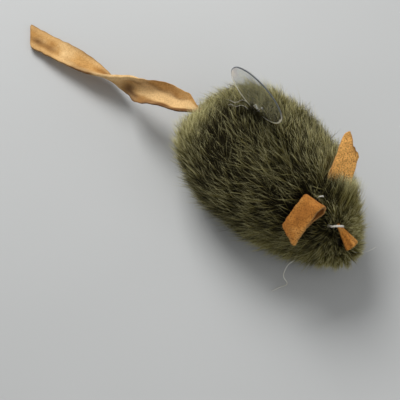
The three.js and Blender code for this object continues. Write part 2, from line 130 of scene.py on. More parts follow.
# %% Put arrays into a mesh
def make_piece(name, points, quads, triangles, finish, body=None, slot=None, uv=None, **attributes):
    """Points in mm as a smooth mesh at the origin riding on a body, with its finish. The slot is not used."""
    points = np.asarray(points, dtype=np.float32).reshape(-1, 3) / 1000
    quads = np.asarray(quads, dtype=np.int32).reshape(-1, 4)
    triangles = np.asarray(triangles, dtype=np.int32).reshape(-1, 3)
    corners = np.concatenate([quads.ravel(), triangles.ravel()])
    starts = np.concatenate([np.arange(len(quads)) * 4, quads.size + np.arange(len(triangles)) * 3])
    mesh = bpy.data.meshes.new(name)
    mesh.vertices.add(len(points))
    mesh.vertices.foreach_set("co", points.ravel())
    mesh.loops.add(len(corners))
    mesh.loops.foreach_set("vertex_index", corners)
    mesh.polygons.add(len(starts))
    mesh.polygons.foreach_set("loop_start", starts.astype(np.int32))
    mesh.polygons.foreach_set("use_smooth", np.ones(len(starts), dtype=bool))
    if uv is not None:
        layer = mesh.uv_layers.new(name="OFBake")
        layer.data.foreach_set("uv", np.asarray(uv, dtype=np.float32).reshape(-1, 2)[corners].ravel())
    for label, values in attributes.items():
        field = mesh.attributes.new(label, "FLOAT", "POINT")
        field.data.foreach_set("value", np.asarray(values, dtype=np.float32).ravel())
    mesh.update(calc_edges=True)
    mesh.materials.append(finish)
    piece = bpy.data.objects.new(name, mesh)
    bpy.context.collection.objects.link(piece)
    if body:
        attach(piece, body)
    print(name, "has", len(quads) * 2 + len(triangles), "triangles")
    return piece


# %% [markdown]
# Shapes and marks are built from a few plain curves: a soft step, a hump, and noise made of sine waves. The
# noise could come from a ready function, but those take one point at a time, and sine waves take an array.

# %% Steps, humps and noise
def unit(vectors):
    """Vectors divided by their own lengths."""
    vectors = np.asarray(vectors, dtype=float)
    return vectors / np.maximum(np.linalg.norm(vectors, axis=-1, keepdims=True), 1e-9)


def smoothstep(x, low, high):
    """0 at low, 1 at high, and 3t^2 - 2t^3 between them."""
    t = np.clip((x - low) / (high - low), 0, 1)
    return t * t * (3 - 2 * t)


def hump(x, middle, width):
    """1 at the middle, falling off as exp(-((x - middle) / width)^2)."""
    return np.exp(-(((x - middle) / width) ** 2))


def waves(points, sizes, seed):
    """Smooth noise of about -1 to 1: sine waves of the given lengths in mm, in random ways, added up."""
    dice = np.random.default_rng(seed)
    ways = unit(dice.normal(size=(len(sizes), 3))) * (2 * np.pi / np.array(sizes))[:, None]
    phases = dice.uniform(0, 2 * np.pi, len(sizes))
    return np.sin(points @ ways.T + phases).sum(axis=-1) / np.sqrt(len(sizes))


# %% [markdown]
# Points need faces. One function closes two grids into a sheet of leather, and another closes a stack of
# rings into a solid. Faces that would look inwards are turned over.

# %% Close points into solids
def outwards(points, quads, triangles):
    """The same faces, turned over where they enclose a negative volume."""
    centred = points - points.mean(axis=0)
    split = np.concatenate([quads[:, :3], quads[:, [0, 2, 3]], triangles])
    a, b, c = (centred[split[:, i]] for i in range(3))
    inside_out = (np.cross(a, b) * c).sum() < 0
    return (points, quads[:, ::-1], triangles[:, ::-1]) if inside_out else (points, quads, triangles)


def slab(upper, under):
    """Two grids of points closed into one solid by walls round their borders."""
    rows, columns = upper.shape[:2]
    index = np.arange(rows * columns).reshape(rows, columns)
    top = np.stack([index[:-1, :-1], index[1:, :-1], index[1:, 1:], index[:-1, 1:]], axis=-1).reshape(-1, 4)
    rim = np.concatenate([index[0, :-1], index[:-1, -1], index[-1, :0:-1], index[:0:-1, 0]])
    after = np.roll(rim, -1)
    walls = np.stack([rim, after, after + index.size, rim + index.size], axis=-1)
    quads = np.concatenate([top, top[:, ::-1] + index.size, walls])
    points = np.concatenate([upper.reshape(-1, 3), under.reshape(-1, 3)])
    return outwards(points, quads, np.zeros((0, 3), dtype=int))


def both(values):
    """One face's values, given to both faces of a slab."""
    return np.concatenate([values.ravel()] * 2)


def stack(rings):
    """Rings of points skinned in order, with a fan to the middle of the first and of the last ring."""
    count, sides = rings.shape[:2]
    index = np.arange(count * sides).reshape(count, sides)
    after = np.roll(index, -1, axis=1)
    quads = np.stack([index[:-1], after[:-1], after[1:], index[1:]], axis=-1).reshape(-1, 4)
    first, last = np.full(sides, index.size), np.full(sides, index.size + 1)
    fans = [np.stack([first, after[0], index[0]], axis=-1), np.stack([last, index[-1], after[-1]], axis=-1)]
    points = np.concatenate([rings.reshape(-1, 3), rings[:1].mean(axis=1), rings[-1:].mean(axis=1)])
    return outwards(points, quads, np.concatenate(fans))


# %% [markdown]
# ## Floor and light
# A pale grey card lies under the toy. One broad soft light stands behind it, so the shadow falls towards the
# viewer. A weaker one fills in from the front, and an even pale room does the rest. They are kept at a level
# at which a colour comes out about as it is written.

# %% Floor and light
# Matt card: no gloss, and a tone that hardly changes over a hand's width.
card = grained(
    "matt_card_pressed", (NOISE, 0.12, {"Detail": 2.0}), [(0.3, "#c2c3c2"), (0.7, "#c6c7c6")], Roughness=0.9
)
FLOOR = 5000.0
far = np.linspace(-FLOOR / 2, FLOOR / 2, 2)
sheet = np.stack([*np.meshgrid(far, far), np.zeros((2, 2))], axis=-1)
floor = make_piece("floor", sheet, [(0, 1, 3, 2)], [], card)
TOY_MIDDLE = Vector((0, 0, 0.015))  # in metres


def soft_light(name, place, size, watts):
    """A square area light at a place, aimed at the middle of the toy."""
    data = bpy.data.lights.new(name, "AREA")
    data.shape = "SQUARE"
    data.size = size / 1000
    data.energy = watts
    lamp = bpy.data.objects.new(name, data)
    lamp.location = Vector(place) / 1000
    lamp.rotation_mode = "QUATERNION"
    lamp.rotation_quaternion = (TOY_MIDDLE - lamp.location).to_track_quat("-Z", "Y")
    bpy.context.collection.objects.link(lamp)


soft_light("softbox", (-461, 132, 515), 380, 4.1)
soft_light("fill", (520, 40, 420), 600, 1.1)
world = bpy.data.worlds.new("pale_room")
world.use_nodes = True
room = world.node_tree.nodes["Background"].inputs
room["Color"].default_value = linear("#e8eaec")
room["Strength"].default_value = 0.31
bpy.context.scene.world = world

# %% [markdown]
# ## The shape of the body
# The body is a plump egg, blunt at the rump and pointed at the nose. A point on it is found from a share of
# its length and an angle round it, and an inset gives the layers under its skin. It could be sculpted, but a
# formula lets the fur, the cloth and the filling all share the same shape.

# %% Body shape
LENGTH, WIDTH, HEIGHT = 80.0, 47.0, 39.5
WIDEST, SNOUT, BELLY_DEPTH = 17.0, 12.8, 19.0  # heights of the fullest line and the snout, depth below
BELLY_TOP, GAP = 3.0, 0.3  # top of the belly pad, and the gap that two sewn pieces keep
PANEL_EDGE = BELLY_TOP + GAP  # height of the side panels' lower edge
SIDE_POWERS, BACK_POWERS = (0.36, 0.66), (0.54, 0.67)  # bluntness of the rump and of the nose


def fullness(share, rump_power, nose_power):
    """share^a (1 - share)^b, scaled so that its greatest value is 1."""
    fullest = rump_power / (rump_power + nose_power)
    return (share / fullest) ** rump_power * ((1 - share) / (1 - fullest)) ** nose_power


def girth(share):
    """How full the sides and the back are at a share of the length, and how high their middle lies."""
    middle = WIDEST + (SNOUT - WIDEST) * np.maximum(2 * share - 1, 0) ** 2
    return fullness(share, *SIDE_POWERS), fullness(share, *BACK_POWERS), middle


def skin(share, angle, inset=0.0):
    """Two half ellipses at each share: a high one over the back and a shallower one under the belly."""
    side, back, middle = girth(share)
    lift = np.sin(angle)
    reach = np.where(lift > 0, (HEIGHT - WIDEST - inset) * back, (BELLY_DEPTH - inset) * side)
    x = (LENGTH - 2 * inset) * (share - 0.5)
    y = (WIDTH / 2 - inset) * side * np.cos(angle)
    return np.stack(np.broadcast_arrays(x, y, middle + lift * reach), axis=-1)


def skin_frame(share, angle, inset):
    """Point, outward normal and the way to the rump, from small steps along and round the skin."""
    step = 1e-3
    along = skin(np.minimum(share + step, 1), angle, inset) - skin(np.maximum(share - step, 0), angle, inset)
    round_way = skin(share, angle + step, inset) - skin(share, angle - step, inset)
    return skin(share, angle, inset), unit(np.cross(round_way, along)), -unit(along)


def lower_edge(share):
    """The angle at which the skin comes down to the panels' lower edge: asin((edge - middle) / depth)."""
    side, _, middle = girth(share)
    return np.arcsin(np.clip((PANEL_EDGE - middle) / (BELLY_DEPTH * side), -1, 0))


fullest = SIDE_POWERS[0] / sum(SIDE_POWERS)
print("skin is fullest at", np.round(skin(fullest, 0.0), 1), "mm")

# %% [markdown]
# ## Backing cloth
# Each side of the bag is a panel of knitted backing, cut to the shape of the egg and drawn tight over the
# filling. It gives the pile its dark ground. A cloth simulation would only push it back to this shape, and
# the pile hides every crease, so the panel follows the body's formula.

# %% Backing cloth
ROOT_DEPTH = 3.0  # of the backing below the top of the pile
BACKING = 0.9  # thickness

# Knitted acrylic: loops about 0.8 mm wide, dull, and dark brown where it was dyed with the pile.
knit = grained(
    "acrylic_backing_knitted", (CELLS, 0.0008, {}), [(0.0, "#2c2616"), (0.8, "#171308")], (0.0003, 0.6),
    tone="Distance", Roughness=0.95, Sheen_Weight=0.2,
)


def panel(side_sign, inset):
    """A grid over one side: shares bunched towards both ends, angles from the lower edge up to the back."""
    share = ((1 - np.cos(np.pi * np.linspace(0.02, 0.98, 64))) / 2)[:, None]
    low = lower_edge(share)
    points = skin(share, low + (np.pi / 2 - low) * np.linspace(0, 1, 40), inset)
    points[..., 1] = side_sign * np.maximum(points[..., 1], GAP / 2)
    points[..., 2] = np.maximum(points[..., 2], PANEL_EDGE)
    return points


for side_name, side_sign in (("left", 1), ("right", -1)):
    cloth = slab(panel(side_sign, ROOT_DEPTH), panel(side_sign, ROOT_DEPTH + BACKING))
    backing = make_piece(side_name + "_backing", *cloth, knit, "mouse_body", "pile_fabric")
    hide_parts(side_name + "_fur_panel")

# %% [markdown]
# ## Where the sewn-on pieces sit
# The tail, the ears, the nose tab and the tag are each shaped in a small frame of their own: x reaches out
# from the stitch, y runs along it and z faces up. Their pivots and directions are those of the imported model.

# %% Seats
def seat(pivot, reach, face):
    """A pivot and three unit rows: along the reach, across it, and up out of the face."""
    along = unit(reach)
    across = unit(np.cross(face, along))
    return np.array(pivot), np.stack([along, across, np.cross(along, across)])


def settled(place, local):
    """Points of a piece's own frame carried to where it sits: pivot + x along + y across + z up."""
    pivot, rows = place
    return pivot + local @ rows


def measured(place, points):
    """The reverse: points of the toy's frame as a piece sees them in its own frame."""
    pivot, rows = place
    return (points - pivot) @ rows.T


HEADING, TAG_YAW, TAG_LEAN = np.radians([192.5, 2.5, 4])
TAIL_SEAT = seat((-36.6, -3.916, 25.769), (np.cos(HEADING), np.sin(HEADING), 0), (0, 0, 1))
LEFT_EAR_SEAT = seat((19.591, 10.965, 31.899), (-0.37, 0.81, 0.46), (0.66, -0.12, 0.75))
RIGHT_EAR_SEAT = seat((22.131, -5.197, 36.099), (0.03, -0.88, -0.47), (-0.05, -0.47, 0.88))
NOSE_SEAT = seat((30.949, -0.518, 27.331), (0.87, 0.03, -0.45), (0.5, -0.15, 0.85))
TAG_WAY = np.array([np.cos(TAG_YAW), np.sin(TAG_YAW), 0])
LEANING = np.cos(TAG_LEAN) * np.array([0, 0, 1]) + np.sin(TAG_LEAN) * np.cross(TAG_WAY, (0, 0, 1))
TAG_SEAT = seat((-17.12, 5.23, 40.092), TAG_WAY, LEANING)
TAG, TAG_RISE = 25.0, 10.3  # diameter, and how high its middle stands above the thread
print("tail root is", round(TAIL_SEAT[0][2], 1), "mm above the floor")

# %% [markdown]
# ## Suede
# The strips are split leather with a short nap. The dye takes unevenly, handling leaves darker marks, and the
# cut edges are rougher than the faces. Two noises at the sizes of those marks give the colour, and the mesh
# carries two values of its own: one for stains and painted shade, and one for fading and painted light.

# %% Suede material
def suede(name, pale, tan, brown, pit, pitted):
    """Split leather: cloudy dye over about 8 mm, nap over about 0.5 mm, and pits that darken part of it."""
    # Napped leather scatters all light, so it is quite rough, with a little sheen from the fibres.
    made, tree, surface = material(name, Roughness=0.85, Specular_IOR_Level=0.2, Sheen_Weight=0.05)
    place = node(tree, "ShaderNodeTexCoord").outputs["Object"]
    clouds = node(tree, NOISE, {"Vector": place, "Scale": 1 / 0.008, "Detail": 4.0}).outputs["Fac"]
    # The nap is finer than 0.3 mm, and it is drawn coarser so that it shows.
    fine = {"Vector": place, "Scale": 1 / 0.0005, "Detail": 3.0, "Roughness": 0.6}
    nap = node(tree, NOISE, fine).outputs["Fac"]
    dye = node(tree, "ShaderNodeValToRGB", {"Fac": clouds}, [(0.3, brown), (0.72, pale), (0.5, tan)])
    pits = node(tree, "ShaderNodeValToRGB", {"Fac": nap}, [(0.34, "#ffffff"), (0.54, "#000000")])
    depth = node(tree, "ShaderNodeMath", {0: pits.outputs["Color"], 1: pitted}, operation="MULTIPLY")
    faded = node(tree, "ShaderNodeAttribute", attribute_name="faded").outputs["Fac"]
    stain = node(tree, "ShaderNodeAttribute", attribute_name="stain").outputs["Fac"]
    colour = dye.outputs["Color"]
    # First it fades and takes painted light, then the pits of the nap darken it, and last come the
    # stains and painted shade.
    for share, towards in ((faded, pale), (depth.outputs[0], pit), (stain, "#5b3513")):
        inputs = {FACTOR: share, FIRST: colour, SECOND: linear(towards)}
        colour = node(tree, "ShaderNodeMix", inputs, data_type="RGBA").outputs[MIXED]
    raised = node(tree, "ShaderNodeBump", {"Height": nap, "Distance": 0.0004, "Strength": 0.7})
    tree.links.new(colour, surface.inputs["Base Color"])
    tree.links.new(raised.outputs["Normal"], surface.inputs["Normal"])
    return made


tail_suede = suede("split_leather_tan_napped", "#f0c88c", "#d8a561", "#b07a38", "#8d5c26", 0.35)
ear_suede = suede("split_leather_orange_napped", "#ffbe68", "#d88e3c", "#ba742c", "#7f4a18", 0.75)
STRIP, SUEDE = 8.0, 1.2  # width and thickness of the strip
print("suede finishes:", tail_suede.name, "and", ear_suede.name)

# %% [markdown]
# ## Tail
# The tail is one strip, pinched at the rump. It sinks to the floor on a long curve and makes half a turn on
# the way, so its two faces show in turn. It bows a little to one side at the turn, and arches before the tip.
# Old suede curls up at its edges, and more so near the body, where the rolled rim has a painted highlight
# and a painted shadow under it. A grid with an upper and an under face gives the strip its thickness.

# %% Tail shape
TAIL_REACH, TAIL_ROOT, TAIL_SLANT = 89.5, 1.8, 3.8  # free length, sewn end, and slant of the cut
TAIL_BOW, TAIL_ARCH = -1.2, 2.2  # sideways at the turn, and up before the tip
RIM_OUT, RIM_UP = -0.8, 1.4  # how far the rolled rim stands off
TAIL_FALL = 1.9  # power of the sinking line
TAIL_DROP = TAIL_SEAT[0][2] - SUEDE / 2 - GAP


def crisp(count):
    """Even steps from 0 to 1 with one extra step close to each end, which keeps a cut edge sharp."""
    return np.r_[0.0, 0.012, np.linspace(0.04, 0.96, count), 0.988, 1.0]


def strip_noise(along, sizes, seed):
    """Smooth noise along a strip."""
    return waves(np.stack([along, 0 * along, 0 * along], axis=-1), sizes, seed)


def tail_face(side):
    """One face of the strip: distance out, roll of half a turn, edges curled up, and a sinking line."""
    along, place = crisp(240)[:, None], 2 * crisp(31) - 1
    # The cut end slants, and its corners are worn round.
    reach = TAIL_REACH + TAIL_ROOT + 0.5 - TAIL_SLANT * place - 1.0 * np.abs(place) ** 7
    distance = reach * along - TAIL_ROOT
    share = np.maximum(distance / TAIL_REACH, 0)
    # From its pinched root the strip widens to its full width, with ragged edges.
    widening = smoothstep(distance, 2.9, 11.5)
    ragged = 1 + 0.025 * widening * strip_noise(distance + 40 * np.sign(place), (9, 5, 3.1, 1.7), 31)
    half = (1.2 + (STRIP / 2 - 0.7) * widening) * ragged
    # It turns over between a fifth and four fifths of its length, and its edges cup up, most near the body.
    roll = -np.pi * smoothstep(np.clip((share - 0.2) / 0.6, 0, 1) ** 0.87, 0, 1)
    near_body = smoothstep(share, 0.46, 0.3) * widening
    cup = 0.9 * widening + 1.9 * near_body
    curl = cup * np.abs(place) ** (2 + 0.8 * near_body) * np.cos(roll)
    # It buckles a little, is bunched thicker at the turn, and has one rim rolled up.
    buckle = 0.35 * widening * strip_noise(distance + 5 * place, (23, 14, 9), 32) * (1 - 0.5 * np.abs(place))
    thick = side * SUEDE / 2 * (1 - 0.3 * np.abs(place) ** 12) * (1 + 0.6 * hump(share, 0.47, 0.07))
    raised = smoothstep(place, 0.4, 1.0) * smoothstep(share, 0.1, 0.27) * smoothstep(share, 0.46, 0.36)
    y = -place * half + RIM_OUT * raised
    z = curl + thick + buckle * np.sin(roll * 0.5 + 0.8) + RIM_UP * raised
    lift = TAIL_ARCH * hump(share, 0.78, 0.13) - TAIL_DROP * (1 - np.maximum(1 - share, 0) ** TAIL_FALL)
    turned_y = y * np.cos(roll) - z * np.sin(roll) + TAIL_BOW * hump(share, 0.42, 0.06)
    turned_z = y * np.sin(roll) + z * np.cos(roll) + lift
    local = np.stack([distance, turned_y, turned_z], axis=-1)
    return settled(TAIL_SEAT, local), share + 0 * place, place + 0 * share


# %% [markdown]
# Handling has left dark blots on the tail, and the edges of its outer half are worn pale. Painted shade
# darkens it before the turn, under the rolled rim and along the lower rim near the body, and painted light
# brightens the trough near the body and the lit rims. So each point gets the two values that the suede reads,
# a stain with painted shade and a fade with painted light. They could be painted, but as formulas they follow
# the strip.

# %% Tail marks
# Blots: strength, place along and across the strip, and length and width. The last is painted shade just
# before the turn.
BLOTS_AND_SHADE = (
    (0.75, 0.96, 0.15, 0.045, 0.5), (0.4, 0.87, 0.1, 0.04, 0.45), (0.35, 0.67, 1.0, 0.08, 0.6),
    (0.2, 0.76, 0.1, 0.03, 0.4), (0.85, 0.425, -0.3, 0.045, 0.7),
)


def round_spot(share, place, at, across, long, wide):
    """A soft round mark: one hump along the piece times one across it."""
    return hump(share, at, long) * hump(place, across, wide)


upper, share, place = tail_face(1)
under, _, _ = tail_face(-1)
# The strip is darker towards its pinched root.
darkening = 0.7 * smoothstep(share, 0.09, 0.02)
for strength, *spot in BLOTS_AND_SHADE:
    darkening += strength * round_spot(share, place, *spot)
# Its rolled rim wavers. Painted shadow runs under it, painted shade darkens the lower rim near the body, and
# the lit rim is spared the dark edge.
rolled = place + 0.12 * strip_noise(90 * share, (9, 6, 4), 34)
under_rim = 0.4 * hump(rolled, 0.6, 0.14) * smoothstep(share, 0.08, 0.14)
lower_rim = (0.55 + 0.3 * smoothstep(share, 0.3, 0.15)) * smoothstep(-rolled, 0.3, 0.6)
darkening += (under_rim + lower_rim) * smoothstep(share, 0.44, 0.36)
lit = smoothstep(place, 0.55, 0.75) * smoothstep(share, 0.62, 0.55)
darkening += 0.6 * np.abs(place) ** 12 * (1 - lit) + 0.12 * waves(upper, (9, 6, 4, 2.5), 33)
# Painted light brightens the trough near the body, the rim at the turn and the lit rim, and the edges of the
# outer half have faded.
faded = 0.9 * smoothstep(rolled, -0.6, -0.25) * smoothstep(rolled, 0.7, 0.45) * smoothstep(share, 0.4, 0.34)
faded += 0.4 * smoothstep(np.abs(place), 0.3, 0.8) * (share > 0.5)
faded += 0.8 * smoothstep(place, 0.1, 0.5) * hump(share, 0.51, 0.07) + lit * smoothstep(share, 0.3, 0.42)
tail = make_piece(
    "suede_tail", *slab(upper, under), tail_suede, "tail_strip", "tan_suede",
    stain=both(np.clip(darkening, 0, 0.85)), faded=both(np.clip(faded, 0, 1)),
)
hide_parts("tail")

# %% [markdown]
# ## Ears
# Each ear is a short length of the same strip, folded over the stitch that holds it, with a long leaf on top
# and a short one beneath. The near ear's fold stands open like a loop that widens towards the nose, and the
# far ear was cut to a rounded tip. A curve for each edge gives the strip's bend, and a cut line across it
# gives the shape of its end.

# %% Ear shape
BACK_LEAF, DROOP = 7.0, 40.0  # length of the short leaf, and the radius on which the long one hangs
# Where the leaf is cut: shares across it, and its length there.
RIGHT_CUT = ([0, 0.1, 0.5, 0.9, 1.0], [12.2, 12.6, 13.6, 14.9, 14.6])
LEFT_CUT = (
    [0, 0.07, 0.22, 0.38, 0.5, 0.6, 0.72, 0.86, 0.95, 1.0],
    [9.7, 10.2, 11.2, 12.2, 13.9, 16.1, 16.9, 16.4, 15.2, 13.6],
)


def fold_line(radius, sink):
    """The bend from the back leaf's end, round a loop and out along the upper leaf, with its slopes."""
    x = np.linspace(BACK_LEAF, 0, 40)
    rise = smoothstep(x, 0.0, 5.2) * (2 * radius - SUEDE - 0.1)
    back = np.stack([x, -radius - sink + rise - x**2 / (2 * DROOP) * smoothstep(x, 0, 5.2)], axis=-1)
    turn = np.linspace(0, np.pi, 40)[1:]
    loop = np.stack([-radius * np.sin(turn), -sink - radius * np.cos(turn)], axis=-1)
    bend = np.linspace(0, 20 / DROOP, 60)[1:]
    leaf = np.stack([DROOP * np.sin(bend), radius - sink - DROOP * (1 - np.cos(bend))], axis=-1)
    line = np.concatenate([back, loop, leaf])
    lengths = np.r_[0, np.cumsum(np.linalg.norm(np.diff(line, axis=0), axis=1))]
    return lengths, line, np.gradient(line, lengths, axis=0), lengths[len(back) + len(loop) - 1]


def ear(place, near_line, far_line, edges, cut, seed):
    """The strip laid from one fold line to another, with edges that fan out as y = start + slope x + bow."""
    along, across = crisp(110)[:, None], crisp(25)
    # The two fold lines are blended across the strip.
    leaf = np.interp(across, *cut) + 0.22 * strip_noise(across * STRIP, (2.6, 1.5, 0.8), seed)
    x = z = out_x = out_z = past = 0
    for weight, (lengths, path, slope, leaf_start) in ((1 - across, near_line), (across, far_line)):
        distance = along * (leaf_start + leaf)
        x = x + weight * np.interp(distance, lengths, path[:, 0])
        z = z + weight * np.interp(distance, lengths, path[:, 1])
        out_x = out_x - weight * np.interp(distance, lengths, slope[:, 1])
        out_z = out_z + weight * np.interp(distance, lengths, slope[:, 0])
        past = past + weight * np.maximum(distance - leaf_start, 0)
    # Its edges fan out, bow and are slightly ragged.
    bow = edges[4] * np.sin(np.pi * np.clip(past / 14, 0, 1))
    left, right = edges[0] + edges[1] * past + bow, edges[2] + edges[3] * past + bow
    ragged = 0.12 * strip_noise(distance + 30 * (across > 0.5), (3.3, 1.9, 1.1, 0.7), seed + 1)
    y = left + (right - left) * across + ragged * np.sign(across - 0.5) * np.abs(2 * across - 1) ** 4
    faces = []
    for side in (1, -1):
        thick = side * SUEDE / 2 * (1 - 0.25 * np.abs(2 * across - 1) ** 12)
        lumps = 0.1 * waves(np.stack([distance, y, 0 * y], axis=-1), (7, 4.3, 2.9), seed + 2)
        local = np.stack([x + (thick + lumps) * out_x, y, z + (thick + lumps) * out_z], axis=-1)
        faces.append(settled(place, local))
    rim = np.maximum(np.abs(2 * across - 1), np.where(along > 0.5, along, 0)) ** 40
    darkening = 0.08 * waves(faces[0], (5, 3.2, 2.1), seed + 3) + 0.25 * rim
    return faces, np.clip(darkening, 0, 0.8), rim, along, across


# %% [markdown]
# The near ear is cut almost square. Painted shade darkens it all over and more inside its fold, and one rim
# has a painted highlight. The far ear is paler all over with painted light, and a torn spot beside its tip
# shows the brown of the split.

# %% Make the ears
right_edges = (-4.1, 0.02, 4.0, 0.02, 0.0)  # start and slope of either edge, and their bow
faces, darkening, rim, along, across = ear(
    RIGHT_EAR_SEAT, fold_line(1.3, 0.0), fold_line(2.1, 0.5), right_edges, RIGHT_CUT, 41
)
# Painted shade: the near ear darker all over, and more inside its fold; one rim gets a painted highlight.
darkening = np.clip(darkening + 0.25, 0, 0.8)
inside = np.clip(darkening + 0.7 * smoothstep(along, 0.75, 0.5), 0, 0.8)
right_ear = make_piece(
    "right_suede_ear", *slab(*faces), ear_suede, "right_ear_leaf", "ear_suede",
    stain=np.concatenate([darkening.ravel(), inside.ravel()]), faded=both(rim * (across > 0.5)),
)
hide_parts("right_ear")

left_edges = (-3.4, 0.0, 4.6, 0.0, 0.35)
faces, darkening, _, along, across = ear(
    LEFT_EAR_SEAT, fold_line(1.4, 0.1), fold_line(1.4, 0.1), left_edges, LEFT_CUT, 45
)
torn = round_spot(along, across, 1.0, 0.3, 0.06, 0.22) * 0.75
# Painted light: the far ear's marks are halved, and the whole ear is made paler.
left_ear = make_piece(
    "left_suede_ear", *slab(*faces), ear_suede, "left_ear_leaf", "ear_suede",
    stain=both(np.clip(0.5 * darkening + torn, 0, 0.85)), faded=np.ones(2 * darkening.size),
)
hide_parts("left_ear")

# %% [markdown]
# ## Nose tab
# The nose is a scrap of suede pinched under one stitch, so it flares from a point to a cut end and falls into
# lengthwise pleats. The pleats are a cosine across the tab that grows with its width.

# %% Nose tab
NOSE_LENGTH, NOSE_WIDTH, NOSE_NECK, NOSE_TAIL = 8.8, 5.2, 1.3, 0.8  # the last lies behind the stitch


def pleats(across):
    """Two waves across the tab: cos(4 pi (across - 0.42))."""
    return np.cos(4 * np.pi * (across - 0.42))


def nose_face(side):
    """A tab whose width and pleats grow along it, on a back that is arched across."""
    along, across = crisp(60)[:, None], crisp(41)
    end = 1 - 0.035 * np.abs(2 * across - 1) ** 3 + 0.008 * strip_noise(across * 5, (1.9, 1.1, 0.7), 51)
    x = (NOSE_LENGTH + NOSE_TAIL) * along * end - NOSE_TAIL
    flare = np.maximum(x / NOSE_LENGTH, 0)
    width = NOSE_NECK + (NOSE_WIDTH - NOSE_NECK) * flare**0.9
    width = width * (1 + 0.03 * strip_noise(x, (4, 2.3, 1.3), 52))
    y = width * (0.5 - across) - 0.45 * flare
    z = 0.24 * flare * pleats(across) - 1.3 * flare * (2 * across - 1) ** 2
    z = z + side * SUEDE / 2 * (1 - 0.2 * np.abs(2 * across - 1) ** 12)
    local = np.stack([x, y, z], axis=-1)
    return settled(NOSE_SEAT, local), flare + 0 * across, across + 0 * flare


upper, flare, across = nose_face(1)
under, _, _ = nose_face(-1)
# Painted shade darkens the grooves, the tab darkens towards its pinched end, and the cut end is painted light.
groove = 0.5 * flare * (0.5 - 0.5 * pleats(across)) + 0.3 * smoothstep(flare, 0.35, 0.0)
nose = make_piece(
    "suede_nose", *slab(upper, under), ear_suede, "nose_leaf", "ear_suede",
    stain=both(np.clip(groove, 0, 0.8)), faded=both(0.6 * smoothstep(flare, 0.96, 1.0)),
)
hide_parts("nose_tab")

# %% [markdown]
# ## Fur
# The pile is soft acrylic hair that runs from the nose back to the tail. A hair system would be lost on
# export, so each hair is a thin three-sided spike of sixteen triangles. Real fibres are about 0.05 mm thick,
# too fine to show, so these are some three times as thick, and there are fewer of them.

# %% Fur material
# Dyed acrylic is dark where hairs shade each other at their roots, and bleached olive at the tips.
fur, tree, surface = material("acrylic_pile_brushed", Roughness=0.7, Specular_IOR_Level=0.12)
hair_uv = node(tree, "ShaderNodeUVMap", uv_map="OFBake")
axes = node(tree, "ShaderNodeSeparateXYZ", {"Vector": hair_uv.outputs["UV"]})
# Each hair has its own tone across the map, and runs from root to tip up it.
tones = {FACTOR: axes.outputs["X"]}
dark_stops = [(0.0, "#070501"), (1.0, "#332c13"), (0.6, "#1a1608")]
pale_stops = [(0.0, "#2a2410"), (1.0, "#efe8b0"), (0.6, "#9c9254")]
for socket, stops in ((FIRST, dark_stops), (SECOND, pale_stops)):
    tones[socket] = node(tree, "ShaderNodeValToRGB", {"Fac": axes.outputs["Y"]}, stops).outputs["Color"]
dye = node(tree, "ShaderNodeMix", tones, data_type="RGBA")
tree.links.new(dye.outputs[MIXED], surface.inputs["Base Color"])
print("fur finish has", len(tree.nodes), "nodes")

# %% [markdown]
# ### One hair
# A hair leaves its root one way and ends another, so it is a short curve. Three rings of three points follow
# that curve and close to a tip. Its map holds the hair's own tone and the way from root to tip, so the colour
# stays on the hair in the exported model.

# %% Hair shape
RINGS = 3  # of three points each


def hair_line(t, root, start_way, end_way, length, pull):
    """The middle of each hair: root + L (s (t - t^2/2) + e t^2/2) + pull t^1.6, which turns from s to e."""
    line = root + length[:, None] * (start_way * (t - t * t / 2) + end_way * t * t / 2) + pull * t**1.6
    line[..., 2] = np.maximum(line[..., 2], 0.15)
    return line


def hairs(root, start_way, end_way, length, pull, width, seed):
    """Rings of three points round each hair's line, drawn in to its tip, with faces from ring to ring."""
    t = np.arange(RINGS + 1)[:, None, None] / RINGS
    line = hair_line(t, root, start_way, end_way, length, pull)
    side = unit(np.cross(start_way, np.random.default_rng(seed).normal(size=root.shape)))
    third = np.cross(unit(start_way), side)
    turn = np.arange(3)[:, None, None, None] * 2 * np.pi / 3
    thick = (width / 2)[:, None] * (1 - t[:-1]) ** 0.6
    rings = line[:-1] + thick * (np.cos(turn) * side + np.sin(turn) * third)
    rings = rings.transpose(2, 1, 0, 3).reshape(len(root), -1, 3)
    points = np.concatenate([rings, line[-1][:, None]], axis=1)
    ring, corner = np.meshgrid(np.arange(RINGS - 1), np.arange(3), indexing="ij")
    here, after = 3 * ring + corner, 3 * ring + (corner + 1) % 3
    quads = np.stack([here, after, after + 3, here + 3], axis=-1).reshape(-1, 4)
    last, tip = 3 * (RINGS - 1), 3 * RINGS
    triangles = np.array([(last, last + 1, tip), (last + 1, last + 2, tip), (last + 2, last, tip), (0, 2, 1)])
    first = np.arange(len(root))[:, None, None] * (tip + 1)
    return points, (quads + first).reshape(-1, 4), (triangles + first).reshape(-1, 3)


def hair_map(tone):
    """Map places: across is the hair's own tone, with a little width, and up is the way from root to tip."""
    spread = np.tile([-0.012, 0.0, 0.012], RINGS)
    u = np.clip(np.c_[tone[:, None] + spread, tone], 0, 1)
    v = np.r_[np.repeat(np.arange(RINGS) / RINGS, 3), 1.0]
    return np.stack([u, np.broadcast_to(v, u.shape)], axis=-1)


# %% [markdown]
# ### Comb the coat
# Hairs of a pile cling together in fine locks. So locks are scattered evenly over the backing, each gets its
# own length, lean and tone, and eight hairs start round its middle and close towards it at their tips. One
# table tells where the coat is brushed aside, and another where its tips are paler or it is darker: partly
# bleaching, and partly painted light on the rims and painted shade in the hollows. Some hairs in every lock
# are bleached too, and tufts are combed over the places where a piece is sewn on.

